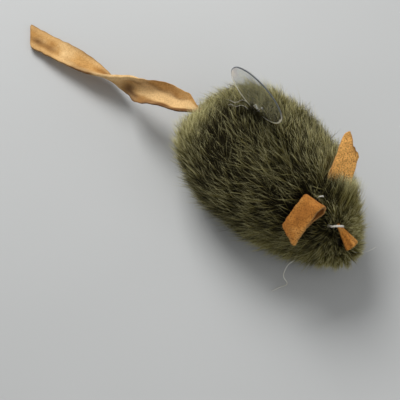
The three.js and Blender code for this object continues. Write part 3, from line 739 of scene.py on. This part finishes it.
# %% Tables of the coat
LOCKS, HAIRS_IN_LOCK, LOCK_RADIUS = 13500, 8, 0.32
HAIR_LENGTH, HAIR_LEAN, HAIR_FALL = 8.8, 44, 36  # degrees off the skin at the root, and lost by the tip
FINE, COARSE = (0.1, 0.17), (0.16, 0.27)  # widths of dyed and of bleached hairs
BRUSHED, SHADED = 8.0, 6.0  # how far a place of each table is felt
# Places on the coat and the degrees by which it is brushed aside there, seen from outside, against the clock.
COMBED = np.array([
    (-32, -5, 30, -60), (-24, -18, 26, -45), (-22, -7, 35, -23), (-12, -14, 35, -20), (-7, -23, 20, -50),
    (0, -20, 27, -20), (2, -12, 35, 13), (10, -14, 31, 20), (9, -3, 37, 26), (-4, 12, 36, -42),
    (10, 13, 32, -40), (31, -9, 17, 28), (26, 7, 26, 20),
])
# Places where the tips are paler (more than 0) or the coat is darker (less than 0): bleaching, with painted
# light on the rims and painted shade in the hollows.
SHADES = np.array([
    (-37, -7, 27, 0.65), (-35, -13, 23, 0.3), (-27, -3, 35, -0.15), (-29, 11, 32, 0.2), (-15, 16, 34, 0.25),
    (0, 11, 37, -0.04), (8, 17, 32, 0.1), (14, 15, 30, 0.15), (23, 12, 28, 0.7), (31, 9, 23, 0.75),
    (22, 4, 33, 0.1), (34, -9, 18, 0.45), (17, -19, 17, 0.3), (-1, -8, 39, 0.06), (-11, -15, 34, -0.2),
    (-22, -11, 35, -0.1), (15, -10, 34, -0.14), (29, -9, 24, -0.08),
])
# Tufts that hide how a piece is sewn on, in the piece's own frame: its seat, two corners of the box its hairs
# grow from, the share of a root's place that its tip keeps, what is added to it, and the spread by chance.
TUFTS = (
    (LEFT_EAR_SEAT, (-13, -6, -1.5), (-5, 6, 5), (0.0, 1.0, 0.0), (1.8, 0.0, 3.0), (0.9, 1.4, 0.5)),
    (RIGHT_EAR_SEAT, (-4.6, -5, -10), (-0.5, 5, -3.5), (0.0, 1.0, 0.0), (-3.1, 0.0, -0.8), (0.2, 0.5, 0.6)),
    (TAG_SEAT, (-4.5, -7, -8), (4, -1, 0), (0.5, 0.0, 0.0), (0.8, -0.9, 2.3), (1.0, 0.15, 0.7)),
)
print(len(COMBED), "places are brushed,", len(SHADES), "are shaded, and", len(TUFTS), "tufts are combed")

# %% [markdown]
# The formula of the skin bunches its points at both ends. So many places are tried, and each is kept as often
# as its patch of skin is large. The kept locks then get their way, length, lean and tone.

# %% Scatter and comb the locks
def scatter(count, seed):
    """Shares and angles spread evenly over the skin: a try is kept as often as its patch is large."""
    dice = np.random.default_rng(seed)
    along, angle = dice.uniform((0.015, -np.pi / 2), (0.985, 1.5 * np.pi), (count * 10, 2)).T
    share = (1 - np.cos(np.pi * along)) / 2
    step = 1e-3
    ahead = skin((1 - np.cos(np.pi * (along + step))) / 2, angle) - skin(share, angle)
    patch = np.linalg.norm(np.cross(ahead, skin(share, angle + step) - skin(share, angle)), axis=-1)
    low = lower_edge(share)
    above = (angle > low) & (angle < np.pi - low)
    kept = np.flatnonzero(above & (dice.uniform(0, np.quantile(patch, 0.999), len(patch)) < patch))[:count]
    return share[kept], angle[kept]


def nearness(points, places, size):
    """How near each point is to each place: exp(-d^2 / (2 size^2))."""
    return np.exp(-((points[:, None] - places) ** 2).sum(axis=-1) / (2 * size**2))


dice = np.random.default_rng(13)
share, angle = scatter(LOCKS, 11)
middle, normal, back_way = skin_frame(share, angle, ROOT_DEPTH)
count = len(share)
# The pile runs back from the nose, and near the rump it gathers towards the tail.
near_tail = 0.7 * smoothstep(share, 0.4, 0.05)[:, None]
flow = back_way * (1 - near_tail) + unit(TAIL_SEAT[0] - middle) * near_tail
flow = unit(flow - normal * (flow * normal).sum(axis=-1, keepdims=True))
spread = nearness(middle, COMBED[:, :3], BRUSHED)
swirl = np.radians(spread @ COMBED[:, 3] / (spread.sum(axis=-1) + 0.15))
swirl += 0.15 * waves(middle, (21, 15, 11, 8), 21) + 0.4 * dice.normal(size=count)
flow = np.cos(swirl)[:, None] * flow + np.sin(swirl)[:, None] * np.cross(normal, flow)
# On the snout the hairs are shorter and stand off more.
tip = smoothstep(share, 0.84, 0.95)
length = HAIR_LENGTH - 1.6 * smoothstep(share, 0.68, 0.86) - 3.4 * tip
length *= 1 + 0.18 * dice.normal(size=count)
lean = HAIR_LEAN + 42 * tip + 6 * waves(middle, (26, 17, 12), 22) + 8 * dice.normal(size=count)
lean = np.radians(np.minimum(lean, 88))
# A lock takes its bleaching and painted light and shade from where its tips show, which is a little behind
# and above its root.
shown = middle + 4 * flow + 3 * normal
fade = nearness(shown, SHADES[:, :3], SHADED) @ SHADES[:, 3]
tone = 0.02 + 0.025 * waves(middle, (30, 19, 13, 9), 23) + 0.02 * dice.normal(size=count) + fade
# Painted light: paler tips at the rump's end, along the far flank, on the snout and low on the sides and chin.
tone += 0.6 * smoothstep(share, 0.07, 0.01) + 0.2 * smoothstep(middle[:, 1], 13, 20) + 0.2 * tip
tone = np.maximum(tone + 0.5 * smoothstep(middle[:, 2], 16, 7), 0)
print(count, "locks of", HAIRS_IN_LOCK, "hairs")

# %% [markdown]
# ### Part the coat
# On the toy the pile gives way to the suede and the tag. Here each hair is cut short where it would run into
# one of them, and a hair that would keep less than a fifth of its length isn't grown.

# %% Part the coat round the suede
def in_ear(x, y, z):
    """Whether points of an ear's own frame lie between its leaves' outer faces."""
    top = 2.2 - np.maximum(x, 0) ** 2 / (2 * DROOP)
    return (x > -2.6) & (x < 15.5) & (np.abs(y - 0.4) < 4.8) & (z < top) & (z > -2.9)


def in_tail(x, y, z):
    """Whether points of the tail's own frame lie within the strip near its root."""
    sunk = z + TAIL_DROP * (1 - np.clip(1 - x / TAIL_REACH, 0, 1) ** TAIL_FALL)
    return (x > 1.5) & (x < 30) & (np.abs(y) < 1.5 + 2.8 * smoothstep(x, 2.7, 9)) & (np.abs(sunk - 0.5) < 1.4)


def in_nose(x, y, z):
    """Whether points of the nose tab's own frame lie within it."""
    return (x > -0.5) & (x < 9.2) & (np.abs(y + 0.05 * x) < 0.9 + 0.22 * x) & (np.abs(z) < 1.1)


def in_tag(x, y, z):
    """Whether points of the tag's own frame lie within the disc."""
    return (np.abs(y) < 0.45) & (np.hypot(x, z - TAG_RISE) < TAG / 2 + 0.1)


SOLID_PIECES = (
    (LEFT_EAR_SEAT, in_ear), (RIGHT_EAR_SEAT, in_ear), (TAIL_SEAT, in_tail), (NOSE_SEAT, in_nose),
    (TAG_SEAT, in_tag),
)


def free_share(line):
    """How much of each hair lies clear of the suede and the tag, from samples along it."""
    inside = np.zeros(line.shape[:-1], dtype=bool)
    for place, within in SOLID_PIECES:
        inside |= within(*np.moveaxis(measured(place, line), -1, 0))
    return np.where(inside.any(axis=0), inside.argmax(axis=0) / len(line), 1.0)


# %% [markdown]
# ### Grow the coat
# Every hair takes its lock's values and adds a little chance of its own. The coat is kept in five bands on
# each side, so that no single mesh gets too large.

# %% Grow the coat
FUR_BANDS, SAMPLES = 5, 8  # pieces of coat on a side, and samples along a hair
lock = np.repeat(np.arange(count), HAIRS_IN_LOCK)
total = len(lock)
flow_h, normal_h = flow[lock], normal[lock]
across_h = np.cross(normal_h, flow_h)
spot = dice.normal(size=(total, 2)) * LOCK_RADIUS
offset = spot[:, :1] * flow_h + spot[:, 1:] * across_h
root = middle[lock] + offset
yaw = 0.22 * dice.normal(size=total)
way = unit(flow_h + yaw[:, None] * across_h)
lean_h = (lean[lock] + np.radians(6) * dice.normal(size=total))[:, None]
start_way = np.cos(lean_h) * way + np.sin(lean_h) * normal_h
fall = np.radians(HAIR_FALL) * (1 - 0.9 * tip[lock])[:, None]
end_way = np.cos(lean_h - fall) * way + np.sin(lean_h - fall) * normal_h
length_h = length[lock] * dice.uniform(0.82, 1.12, total)
# The tips of a lock are drawn together, and some of its hairs are bleached, coarse and long.
pull = -0.8 * offset
# More hairs are bleached where the table is pale, partly painted light, and fewer where it has painted shade.
bleached = dice.uniform(size=total) < np.clip(0.15 + 0.6 * fade[lock], 0.05, 0.35)
tone_h = np.clip(tone[lock] * dice.uniform(0.2, 1.7, total) + bleached * dice.uniform(0.45, 1.1, total), 0, 1)
width = np.where(bleached, dice.uniform(*COARSE, total), dice.uniform(*FINE, total))
length_h = length_h * np.where(bleached, 1.12, 1.0)
# Seven in ten of the hairs in a tuft's box are combed to its goal. The tuft at the tag gets painted shade.
for place, low, high, kept, goal, chance in TUFTS:
    here = measured(place, root)
    tufted = np.flatnonzero(((here > low) & (here < high)).all(axis=-1) & (dice.uniform(size=total) < 0.7))
    here = here[tufted]
    end = settled(place, here * kept + goal + chance * dice.normal(size=here.shape)) - root[tufted]
    length_h[tufted] = 1.1 * np.linalg.norm(end, axis=-1)
    start_way[tufted] = unit(unit(end) + 0.5 * place[1][2] + 0.25 * dice.normal(size=end.shape))
    end_way[tufted] = 2 * end / length_h[tufted, None] - start_way[tufted]
    if place is TAG_SEAT:
        tone_h[tufted] *= 0.3
steps = np.arange(1, SAMPLES + 1)[:, None, None] / SAMPLES
free = free_share(hair_line(steps, root, start_way, end_way, length_h, pull))
length_h = length_h * np.where(free < 1, 0.9 * free, 1)
grown = np.flatnonzero(free > 0.2)
print(len(grown), "hairs kept of", total)

for side_name, side_sign in (("left", 1), ("right", -1)):
    mine = grown[root[grown, 1] * side_sign > 0]
    mine = mine[np.argsort(root[mine, 0])]
    for band, pick in enumerate(np.array_split(mine, FUR_BANDS)):
        picked = (values[pick] for values in (root, start_way, end_way, length_h, pull, width))
        coat = hairs(*picked, band)
        name = f"{side_name}_fur_{band + 1}"
        make_piece(name, *coat, fur, "mouse_body", "pile_fabric", uv=hair_map(tone_h[pick]))

# %% [markdown]
# ## Thread
# Every seam and stitch is two-ply sewing thread. A section with two lobes turns as it is carried along a
# smooth path, so the twist is in the mesh and shows in close views and in the exported model.

# %% Thread paths
def smooth_path(points, step):
    """Cubics from point to point: the slope at each point is half the way between its two neighbours."""
    points = np.asarray(points, dtype=float)
    padded = np.concatenate([2 * points[:1] - points[1:2], points, 2 * points[-1:] - points[-2:-1]])
    slopes = (padded[2:] - padded[:-2]) / 2
    pieces = max(int(np.linalg.norm(np.diff(points, axis=0), axis=1).max() / step), 2)
    t = (np.arange(pieces) / pieces)[:, None, None]
    curve = (2 * t**3 - 3 * t**2 + 1) * points[:-1] + (t**3 - 2 * t**2 + t) * slopes[:-1]
    curve = curve + (3 * t**2 - 2 * t**3) * points[1:] + (t**3 - t**2) * slopes[1:]
    return np.concatenate([curve.transpose(1, 0, 2).reshape(-1, 3), points[-1:]])


def twisted(path, diameter, pitch, up, sides=10):
    """A section of radius d/2 (0.82 + 0.18 cos 2(angle - 2 pi s / pitch)) at each length s along a path."""
    way = unit(np.gradient(path, axis=0))
    side = unit(np.cross(way, up))
    third = np.cross(side, way)
    run = np.r_[0, np.cumsum(np.linalg.norm(np.diff(path, axis=0), axis=1))][:, None]
    angle = np.arange(sides) * 2 * np.pi / sides
    radius = diameter / 2 * (0.82 + 0.18 * np.cos(2 * (angle - 2 * np.pi * run / pitch)))
    ring = np.cos(angle)[:, None] * side[:, None] + np.sin(angle)[:, None] * third[:, None]
    return stack(path[:, None] + radius[..., None] * ring)


def joined(parts):
    """Several pieces as one: each one's faces count on from the points before it."""
    firsts = np.cumsum([0] + [len(points) for points, _, _ in parts])
    quads = [quads + first for (_, quads, _), first in zip(parts, firsts)]
    triangles = [triangles + first for (_, _, triangles), first in zip(parts, firsts)]
    points = np.concatenate([points for points, _, _ in parts])
    return points, np.concatenate(quads), np.concatenate(triangles)


# %% [markdown]
# Both threads are the same spun polyester, one bleached white and one dyed olive. Its fibres are too fine for
# the mesh, so a small noise shades them.

# %% Thread finish
# Spun polyester: soft highlights, and fibres about 0.15 mm apart that shade it slightly.
fibres = (NOISE, 0.00015, {"Detail": 3.0})
white_thread, olive_thread = (
    grained(name, fibres, [(0.3, dark), (0.65, pale)], (0.00005, 0.5), Roughness=rough, Sheen_Weight=0.3)
    for name, dark, pale, rough in (
        ("polyester_thread_white", "#cfc8b8", "#f1ede2", 0.55),
        ("polyester_thread_olive", "#312c18", "#4f4a2e", 0.6),
    )
)
THREAD = 0.8
print("thread finishes:", white_thread.name, "and", olive_thread.name)

# %% [markdown]
# ## Stitches
# One stitch holds each ear through its fold, with a small tack beside the near one, and one pinches the nose
# tab. Each is a smooth path over a few points, and each end is carried on down into the backing cloth.

# %% Stitches
def sewn(points, diameter, pitch=1.9):
    """A stitch through its points, whose ends go on 2.5 mm down and inwards, and so into the cloth."""
    points = np.array(points, dtype=float)
    ends = points[[0, -1]] + 2.5 * unit(points[[0, -1]] * (0.9, 0.4, 0) + (0, 0, 14) - points[[0, -1]])
    path = smooth_path(np.concatenate([ends[:1], points, ends[1:]]), 0.12)
    return twisted(path, diameter, pitch, (0.2, 0.1, 1.0))


through_fold = np.array([
    (0, -2.4, -3.6), (0, -2.3, -0.6), (0, -1.2, 0), (0, 1.2, 0), (0, 2.0, -0.6), (0, 2.1, -3.6),
])
left_ear_points = settled(LEFT_EAR_SEAT, through_fold)
right_ear_points = settled(RIGHT_EAR_SEAT, through_fold * (1, 1, 1.3))
right_ear_tack = [
    (19.9, -0.75, 32.8), (20.75, -1.0, 34.8), (21.05, -0.25, 35.0), (21.35, 0.55, 34.6), (20.9, 1.3, 32.7),
]
nose_points = [
    (28.0, -2.5, 26.2), (29.75, -2.85, 28.4), (30.5, -2.3, 28.9), (31.3, -1.3, 28.9), (31.9, -0.2, 28.3),
    (31.5, 1.2, 25.6),
]
stitches = {
    "left_ear_stitch": [sewn(left_ear_points, THREAD)],
    "right_ear_stitch": [sewn(right_ear_points, THREAD), sewn(right_ear_tack, 0.75 * THREAD)],
    "nose_stitch": [sewn(nose_points, 1.1 * THREAD)],
}
for name, parts in stitches.items():
    sewing = name.replace("stitch", "sewing")
    stitch = make_piece(sewing, *joined(parts), white_thread, "mouse_body", "white_thread")
    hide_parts(name)

# %% [markdown]
# ## Seams and binding
# The two panels are sewn together along the back and to the belly all round, under the pile. A few turns of
# thread bind the pinched root of the tail.

# %% Seams and binding
SEAM_DEPTH, SEAM_PITCH, BINDING = 2.2, 2.4, 4.8  # the last is the diameter of the winding


def outline(height, inset, count, start=0.0):
    """A layer's edge at a height, once round from the rump: y = widest sqrt(1 - drop^2), with drop 0 to 1."""
    share = np.linspace(0.0005, 0.9995, 40000)
    side, _, middle = girth(share)
    share = share[(middle - height) < (BELLY_DEPTH - inset) * side]
    turn = np.linspace(start, 2 * np.pi - start, count, endpoint=start > 0)
    share = share[0] + (share[-1] - share[0]) * (1 - np.cos(turn)) / 2
    side, _, middle = girth(share)
    drop = (middle - height) / ((BELLY_DEPTH - inset) * side)
    y = np.sign(np.sin(turn)) * (WIDTH / 2 - inset) * side * np.sqrt(np.maximum(1 - drop**2, 0))
    return np.stack([(LENGTH - 2 * inset) * (share - 0.5), y, np.full(count, height)], axis=-1)


back_path = skin(np.linspace(8 / LENGTH, 1 - 4.8 / LENGTH, 300), np.pi / 2, SEAM_DEPTH)
belly_path = outline(BELLY_TOP + GAP / 2, SEAM_DEPTH, 500, start=0.06)
for name, path, up in (("back_seam", back_path, (0, 1, 0)), ("belly_seam", belly_path, (0, 0, 1))):
    line = twisted(path, THREAD, SEAM_PITCH, up)
    seam = make_piece(name, *line, olive_thread, "mouse_body", "olive_thread")
    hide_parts(name + "_thread")

turns = np.linspace(0, 2 * np.pi * 3, 240)
spiral = [0.4 * (turns / turns[-1] - 0.5), BINDING / 2 * np.cos(turns), BINDING / 2 * np.sin(turns)]
winding = twisted(settled(TAIL_SEAT, np.stack(spiral, axis=-1)), THREAD / 2, 1.2, TAIL_SEAT[1][0])
binding = make_piece("tail_winding", *winding, olive_thread, "tail_root", "olive_thread")
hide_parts("tail_binding")

# %% [markdown]
# ## Clear film
# The tag is punched from clear film, and one sees little of it but its rim. So the faces let almost all
# light through, with a faint veil from handling, and a value on the mesh tells where the punch has frosted
# the edge and where a painted highlight widens that band low down. The rim's colour is painted light and
# shade.

# %% Clear film
# The frosted edge is painted cream low down, as painted light, and grey along the top, as painted shade.
film, tree, surface = material("clear_film_punched", IOR=1.3, Specular_IOR_Level=0.3)
place = node(tree, "ShaderNodeTexCoord").outputs["Object"]
# Smears from fingers are about 5 mm across.
smear = node(tree, NOISE, {"Vector": place, "Scale": 1 / 0.005, "Detail": 3.0})
haze = node(tree, "ShaderNodeMapRange", {"Value": smear.outputs["Fac"], "To Min": 0.0, "To Max": 0.04})
height = node(tree, "ShaderNodeSeparateXYZ", {"Vector": place}).outputs["Z"]
level = node(tree, "ShaderNodeMapRange", {"Value": height, "From Min": 0.046, "From Max": 0.056})
rim_stops = [(0.2, "#fbf6e6"), (0.8, "#a3a7ad")]
frost_light_and_shade = node(tree, "ShaderNodeValToRGB", {"Fac": level.outputs["Result"]}, rim_stops).outputs["Color"]
cut = node(tree, "ShaderNodeAttribute", attribute_name="cut").outputs["Fac"]
tints = {FACTOR: cut, FIRST: linear("#f3f5f6"), SECOND: frost_light_and_shade}
tint = node(tree, "ShaderNodeMix", tints, data_type="RGBA")
clear = node(tree, "ShaderNodeMapRange", {"Value": cut, "To Min": 0.97, "To Max": 0.72})
rough = node(tree, "ShaderNodeMath", {0: haze.outputs["Result"], 1: cut}, operation="MAXIMUM")
tree.links.new(rough.outputs[0], surface.inputs["Roughness"])
tree.links.new(tint.outputs[MIXED], surface.inputs["Base Color"])
tree.links.new(clear.outputs["Result"], surface.inputs["Transmission Weight"])
print("film finish has", len(tree.nodes), "nodes")

# %% [markdown]
# ## Tag
# The disc stands on edge in the pile. A plain cylinder would have no hole, so its section is carried round as
# one closed loop: from the hole out over one side, across the cut edge, and back in over the other.

# %% Tag
FILM, HOLE = 0.5, 1.8  # thickness, and the width of the hole


def tag_rings():
    """For each turn, a closed section: from the hole out over one side, across the cut edge and back in."""
    turn = np.linspace(0, 2 * np.pi, 120, endpoint=False)
    share = np.r_[np.linspace(0, 1, 7)[:-1], 0.92, 0.925, 0.98, 0.985, 0.99, 1.0]
    share = np.r_[share, share[::-1]]
    y = np.repeat([-FILM / 2, FILM / 2], len(share) // 2) * np.where(share == 1, 0.7, 1)
    around = np.stack([np.sin(turn), -np.cos(turn)], axis=-1)[:, None]
    flat = (HOLE / 2 * (1 - share) + TAG / 2 * share)[:, None] * around
    flat = flat + (share * TAG_RISE)[:, None] * np.array([0.0, 1.0])
    rings = np.stack([flat[..., 0], np.broadcast_to(y, flat.shape[:2]), flat[..., 1]], axis=-1)
    # The pale band reaches further in along the lower edge, as a painted highlight.
    band_start = 0.983 - 0.06 * (np.cos(turn) > 0.2)
    return rings, share > band_start[:, None]


def loop_of_loops(rings):
    """A ring of closed sections, skinned both ways round, with no ends to close."""
    count, sides = rings.shape[:2]
    index = np.arange(count * sides).reshape(count, sides)
    ahead, beside = np.roll(index, -1, axis=0), np.roll(index, -1, axis=1)
    quads = np.stack([index, beside, np.roll(beside, -1, axis=0), ahead], axis=-1).reshape(-1, 4)
    return outwards(rings.reshape(-1, 3), quads, np.zeros((0, 3), dtype=int))


rings, cut_edge = tag_rings()
disc = loop_of_loops(settled(TAG_SEAT, rings))
tag = make_piece("clear_tag", *disc, film, "tag", "clear_film", cut=cut_edge)
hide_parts("tag_disc")

# %% [markdown]
# ## Tag thread
# A thin thread passes through the hole into the back, and its cut end has frayed into two curly strands that
# lie on the pile behind the disc.

# %% Tag thread
TAG_THREAD = 0.5
tag_points = [
    (-17.0, 2.7, 37.6), (-17.04, 3.3, 39.9), (-17.12, 5.23, 40.09), (-17.2, 7.16, 39.9), (-17.23, 7.7, 37.2),
]
long_fray = [
    (-17.6, 4.4, 38.5), (-19.6, 4.7, 38.5), (-21.7, 5.2, 38.0), (-23.8, 5.7, 37.1), (-25.6, 5.8, 36.3),
    (-26.5, 5.1, 36.0), (-26.6, 3.8, 36.1), (-27.6, 2.8, 35.7), (-29.4, 2.8, 34.8), (-31.6, 2.8, 33.2),
]
short_fray = [
    (-17.4, 3.4, 38.5), (-19.9, 3.6, 38.4), (-22.7, 3.7, 37.7), (-24.2, 3.2, 37.2), (-25.0, 1.9, 37.0),
    (-26.1, 1.5, 36.4), (-27.8, 1.5, 35.6), (-28.3, 0.5, 35.3),
]
frays = [twisted(smooth_path(points, 0.25), 0.19, 3.0, (0, 0, 1), 6) for points in (long_fray, short_fray)]
strands = joined([sewn(tag_points, TAG_THREAD, 1.3)] + frays)
tag_thread = make_piece("tag_sewing", *strands, white_thread, "mouse_body", "white_thread")
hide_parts("tag_thread")

# %% [markdown]
# ## Belly
# The belly is a plain panel of felted cloth, pressed flat where the toy rests and rounded up to its seam.
# Rings from the middle of its underside out round the edge and back over the top give a closed pad.

# %% Belly
# Felt: short fibres in tangles about 0.7 mm across, quite matt, with a cloudy dye.
felt = grained(
    "acrylic_felt_pressed", (NOISE, 0.0007, {"Detail": 6.0, "Distortion": 1.5}),
    [(0.3, "#39341d"), (0.7, "#6a6440")], (0.0003, 0.8), Roughness=0.95, Sheen_Weight=0.25,
)

heart = np.array([-4.0, 0.0, 0.0])
wall_rings = np.stack([outline(height, 0.3, 120) for height in (0.35, 0.9, 1.7, 2.4, BELLY_TOP - 0.1)])
inner = heart + (wall_rings[0] - heart) * np.array([0.94, 0.94, 0.0])
floor_rings = heart + (inner - heart) * np.linspace(0.05, 1, 10)[:, None, None]
roof = heart + (wall_rings[-1] - heart) * np.array([0.96, 0.96, 0.0]) + (0, 0, BELLY_TOP)
roof_rings = roof.mean(axis=0) + (roof - roof.mean(axis=0)) * np.linspace(1, 0.05, 8)[:, None, None]
pad = stack(np.concatenate([floor_rings, wall_rings, roof_rings]))
belly = make_piece("belly_pad", *pad, felt, "mouse_body", "belly_fabric")
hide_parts("belly_panel")

# %% [markdown]
# ## Filling
# The bag is stuffed with fibre, which leaves a hollow for the dried herb and the hole it was filled by. Rays
# from the middle of the hollow find the lining all round, and the rings run from there down, in through the
# hole and up round the hollow, so the wad is one closed skin.

# %% Filling
HERB = np.array([30.0, 18.0, 14.0]) / 2  # half sizes of the lump of herb
HERB_PLACE = np.array([-6.0, 0.0, 19.0])
FILL_HOLE, LINING = 8.0, 4.3  # width of the hole, and depth of the lining below the skin


def rays(down, turn):
    """Unit vectors at angles down from the top and turned round it: (sin d cos t, sin d sin t, cos d)."""
    parts = np.sin(down) * np.cos(turn), np.sin(down) * np.sin(turn), np.cos(down)
    return np.stack(np.broadcast_arrays(*parts), axis=-1)


def to_lining(ways):
    """How far each ray runs from the herb to the lining: a search by halves on the body's formula."""
    near, far = np.zeros(ways.shape[:-1]), np.full(ways.shape[:-1], 60.0)
    for _ in range(30):
        half = (near + far) / 2
        x, y, z = np.moveaxis(HERB_PLACE + ways * half[..., None], -1, 0)
        share = np.clip(x / (LENGTH - 2 * LINING) + 0.5, 1e-4, 1 - 1e-4)
        side, back, middle = girth(share)
        reach = np.where(z > middle, (HEIGHT - WIDEST - LINING) * back, (BELLY_DEPTH - LINING) * side)
        outside = (y / ((WIDTH / 2 - LINING) * side)) ** 2 + ((z - middle) / reach) ** 2 > 1
        outside |= (np.abs(x) > LENGTH / 2 - LINING) | (z < PANEL_EDGE)
        near, far = np.where(outside, near, half), np.where(outside, half, far)
    return near


turn = np.linspace(0, 2 * np.pi, 72, endpoint=False)
down = np.linspace(0.02, np.pi - np.arctan(FILL_HOLE / 2 / (HERB_PLACE[2] - BELLY_TOP - GAP)), 48)[:, None]
ways = rays(down, turn)
outer = HERB_PLACE + ways * to_lining(ways)[..., None]
outer += 0.25 * np.minimum(waves(outer, (9, 6, 4), 61) - 1, 0)[..., None] * ways
outer[..., 2] = np.maximum(outer[..., 2], PANEL_EDGE)
mouth = np.arcsin(FILL_HOLE / 2 / (HERB[1] + GAP))
hollow = HERB_PLACE + rays(np.linspace(np.pi - mouth, 0.02, 30)[:, None], turn) * (HERB + GAP)
wadding = stack(np.concatenate([outer, hollow]))

# Polyester fibre fill: bright and soft, in woolly curls about 2 mm across.
fibre = grained(
    "polyester_fibre_carded", (NOISE, 0.002, {"Detail": 6.0, "Distortion": 2.0}),
    [(0.3, "#d5d0c4"), (0.7, "#f0ede4")], (0.0008, 0.8), Roughness=1.0, Sheen_Weight=0.4,
)
wad = make_piece("fibre_wad", *wadding, fibre, "mouse_body", "fibre_fill")
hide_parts("stuffing")

# %% [markdown]
# ## Dried herb
# The middle of the toy holds a packed lump of dried, crumbled catnip. Its surface is an ellipsoid that
# several sizes of noise press in, as crumbs would.

# %% Dried herb
down = np.linspace(0.03, np.pi - 0.03, 60)[:, None]
ways = rays(down, np.linspace(0, 2 * np.pi, 96, endpoint=False))
lump = HERB_PLACE + ways * HERB
dent = 0.35 * waves(lump, (6, 4, 2.6), 71) + 0.25 * waves(lump, (1.6, 1.2, 0.9), 72) - 0.9
crumbs = stack(lump + np.minimum(dent, 0)[..., None] * ways)

# Dried leaf: grey-green flakes about 1.5 mm across, among paler stems.
herb = grained(
    "catnip_leaf_dried", (CELLS, 0.0015, {}), [(0.1, "#4a5030"), (0.9, "#97935f"), (0.5, "#6c7042")],
    (0.0006, 0.8), tone="Color", Roughness=0.9,
)
catnip = make_piece("catnip_crumbs", *crumbs, herb, "mouse_body", "dried_herb")
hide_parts("catnip_filling")

# %% [markdown]
# ## Loose hairs
# Two pale fibres have worked out of the pile. A long one curls off the near cheek down to the floor, and a
# finer one stands off the snout. They are drawn as thin tubes along smooth paths.

# %% Loose hairs
# Undyed acrylic: pale, with a soft shine and a tone that drifts over about 4 mm.
stray = grained(
    "acrylic_fibre_undyed", (NOISE, 0.004, {"Detail": 2.0}), [(0.3, "#dcd8c6"), (0.7, "#f6f4ea")],
    Roughness=0.5,
)

cheek_hair = [
    (24.0, -13.0, 13.0), (24.5, -15.4, 11.0), (23.4, -17.2, 8.0), (23.7, -19.4, 5.0), (24.6, -20.1, 3.2),
    (26.0, -20.0, 2.0), (26.4, -20.8, 1.2), (25.4, -22.8, 0.6), (24.5, -25.9, 0.25),
]
snout_hair = [(37.0, 0.8, 15.8), (38.5, 1.5, 15.6), (39.5, 4.9, 13.0), (39.9, 8.0, 11.3), (39.7, 10.3, 10.0)]
strays = [
    twisted(smooth_path(points, 0.4), thick, 30.0, (0.3, 0.2, 1), 5)
    for points, thick in ((cheek_hair, 0.28), (snout_hair, 0.16))
]
make_piece("loose_hairs", *joined(strays), stray, "mouse_body", "pile_fabric")
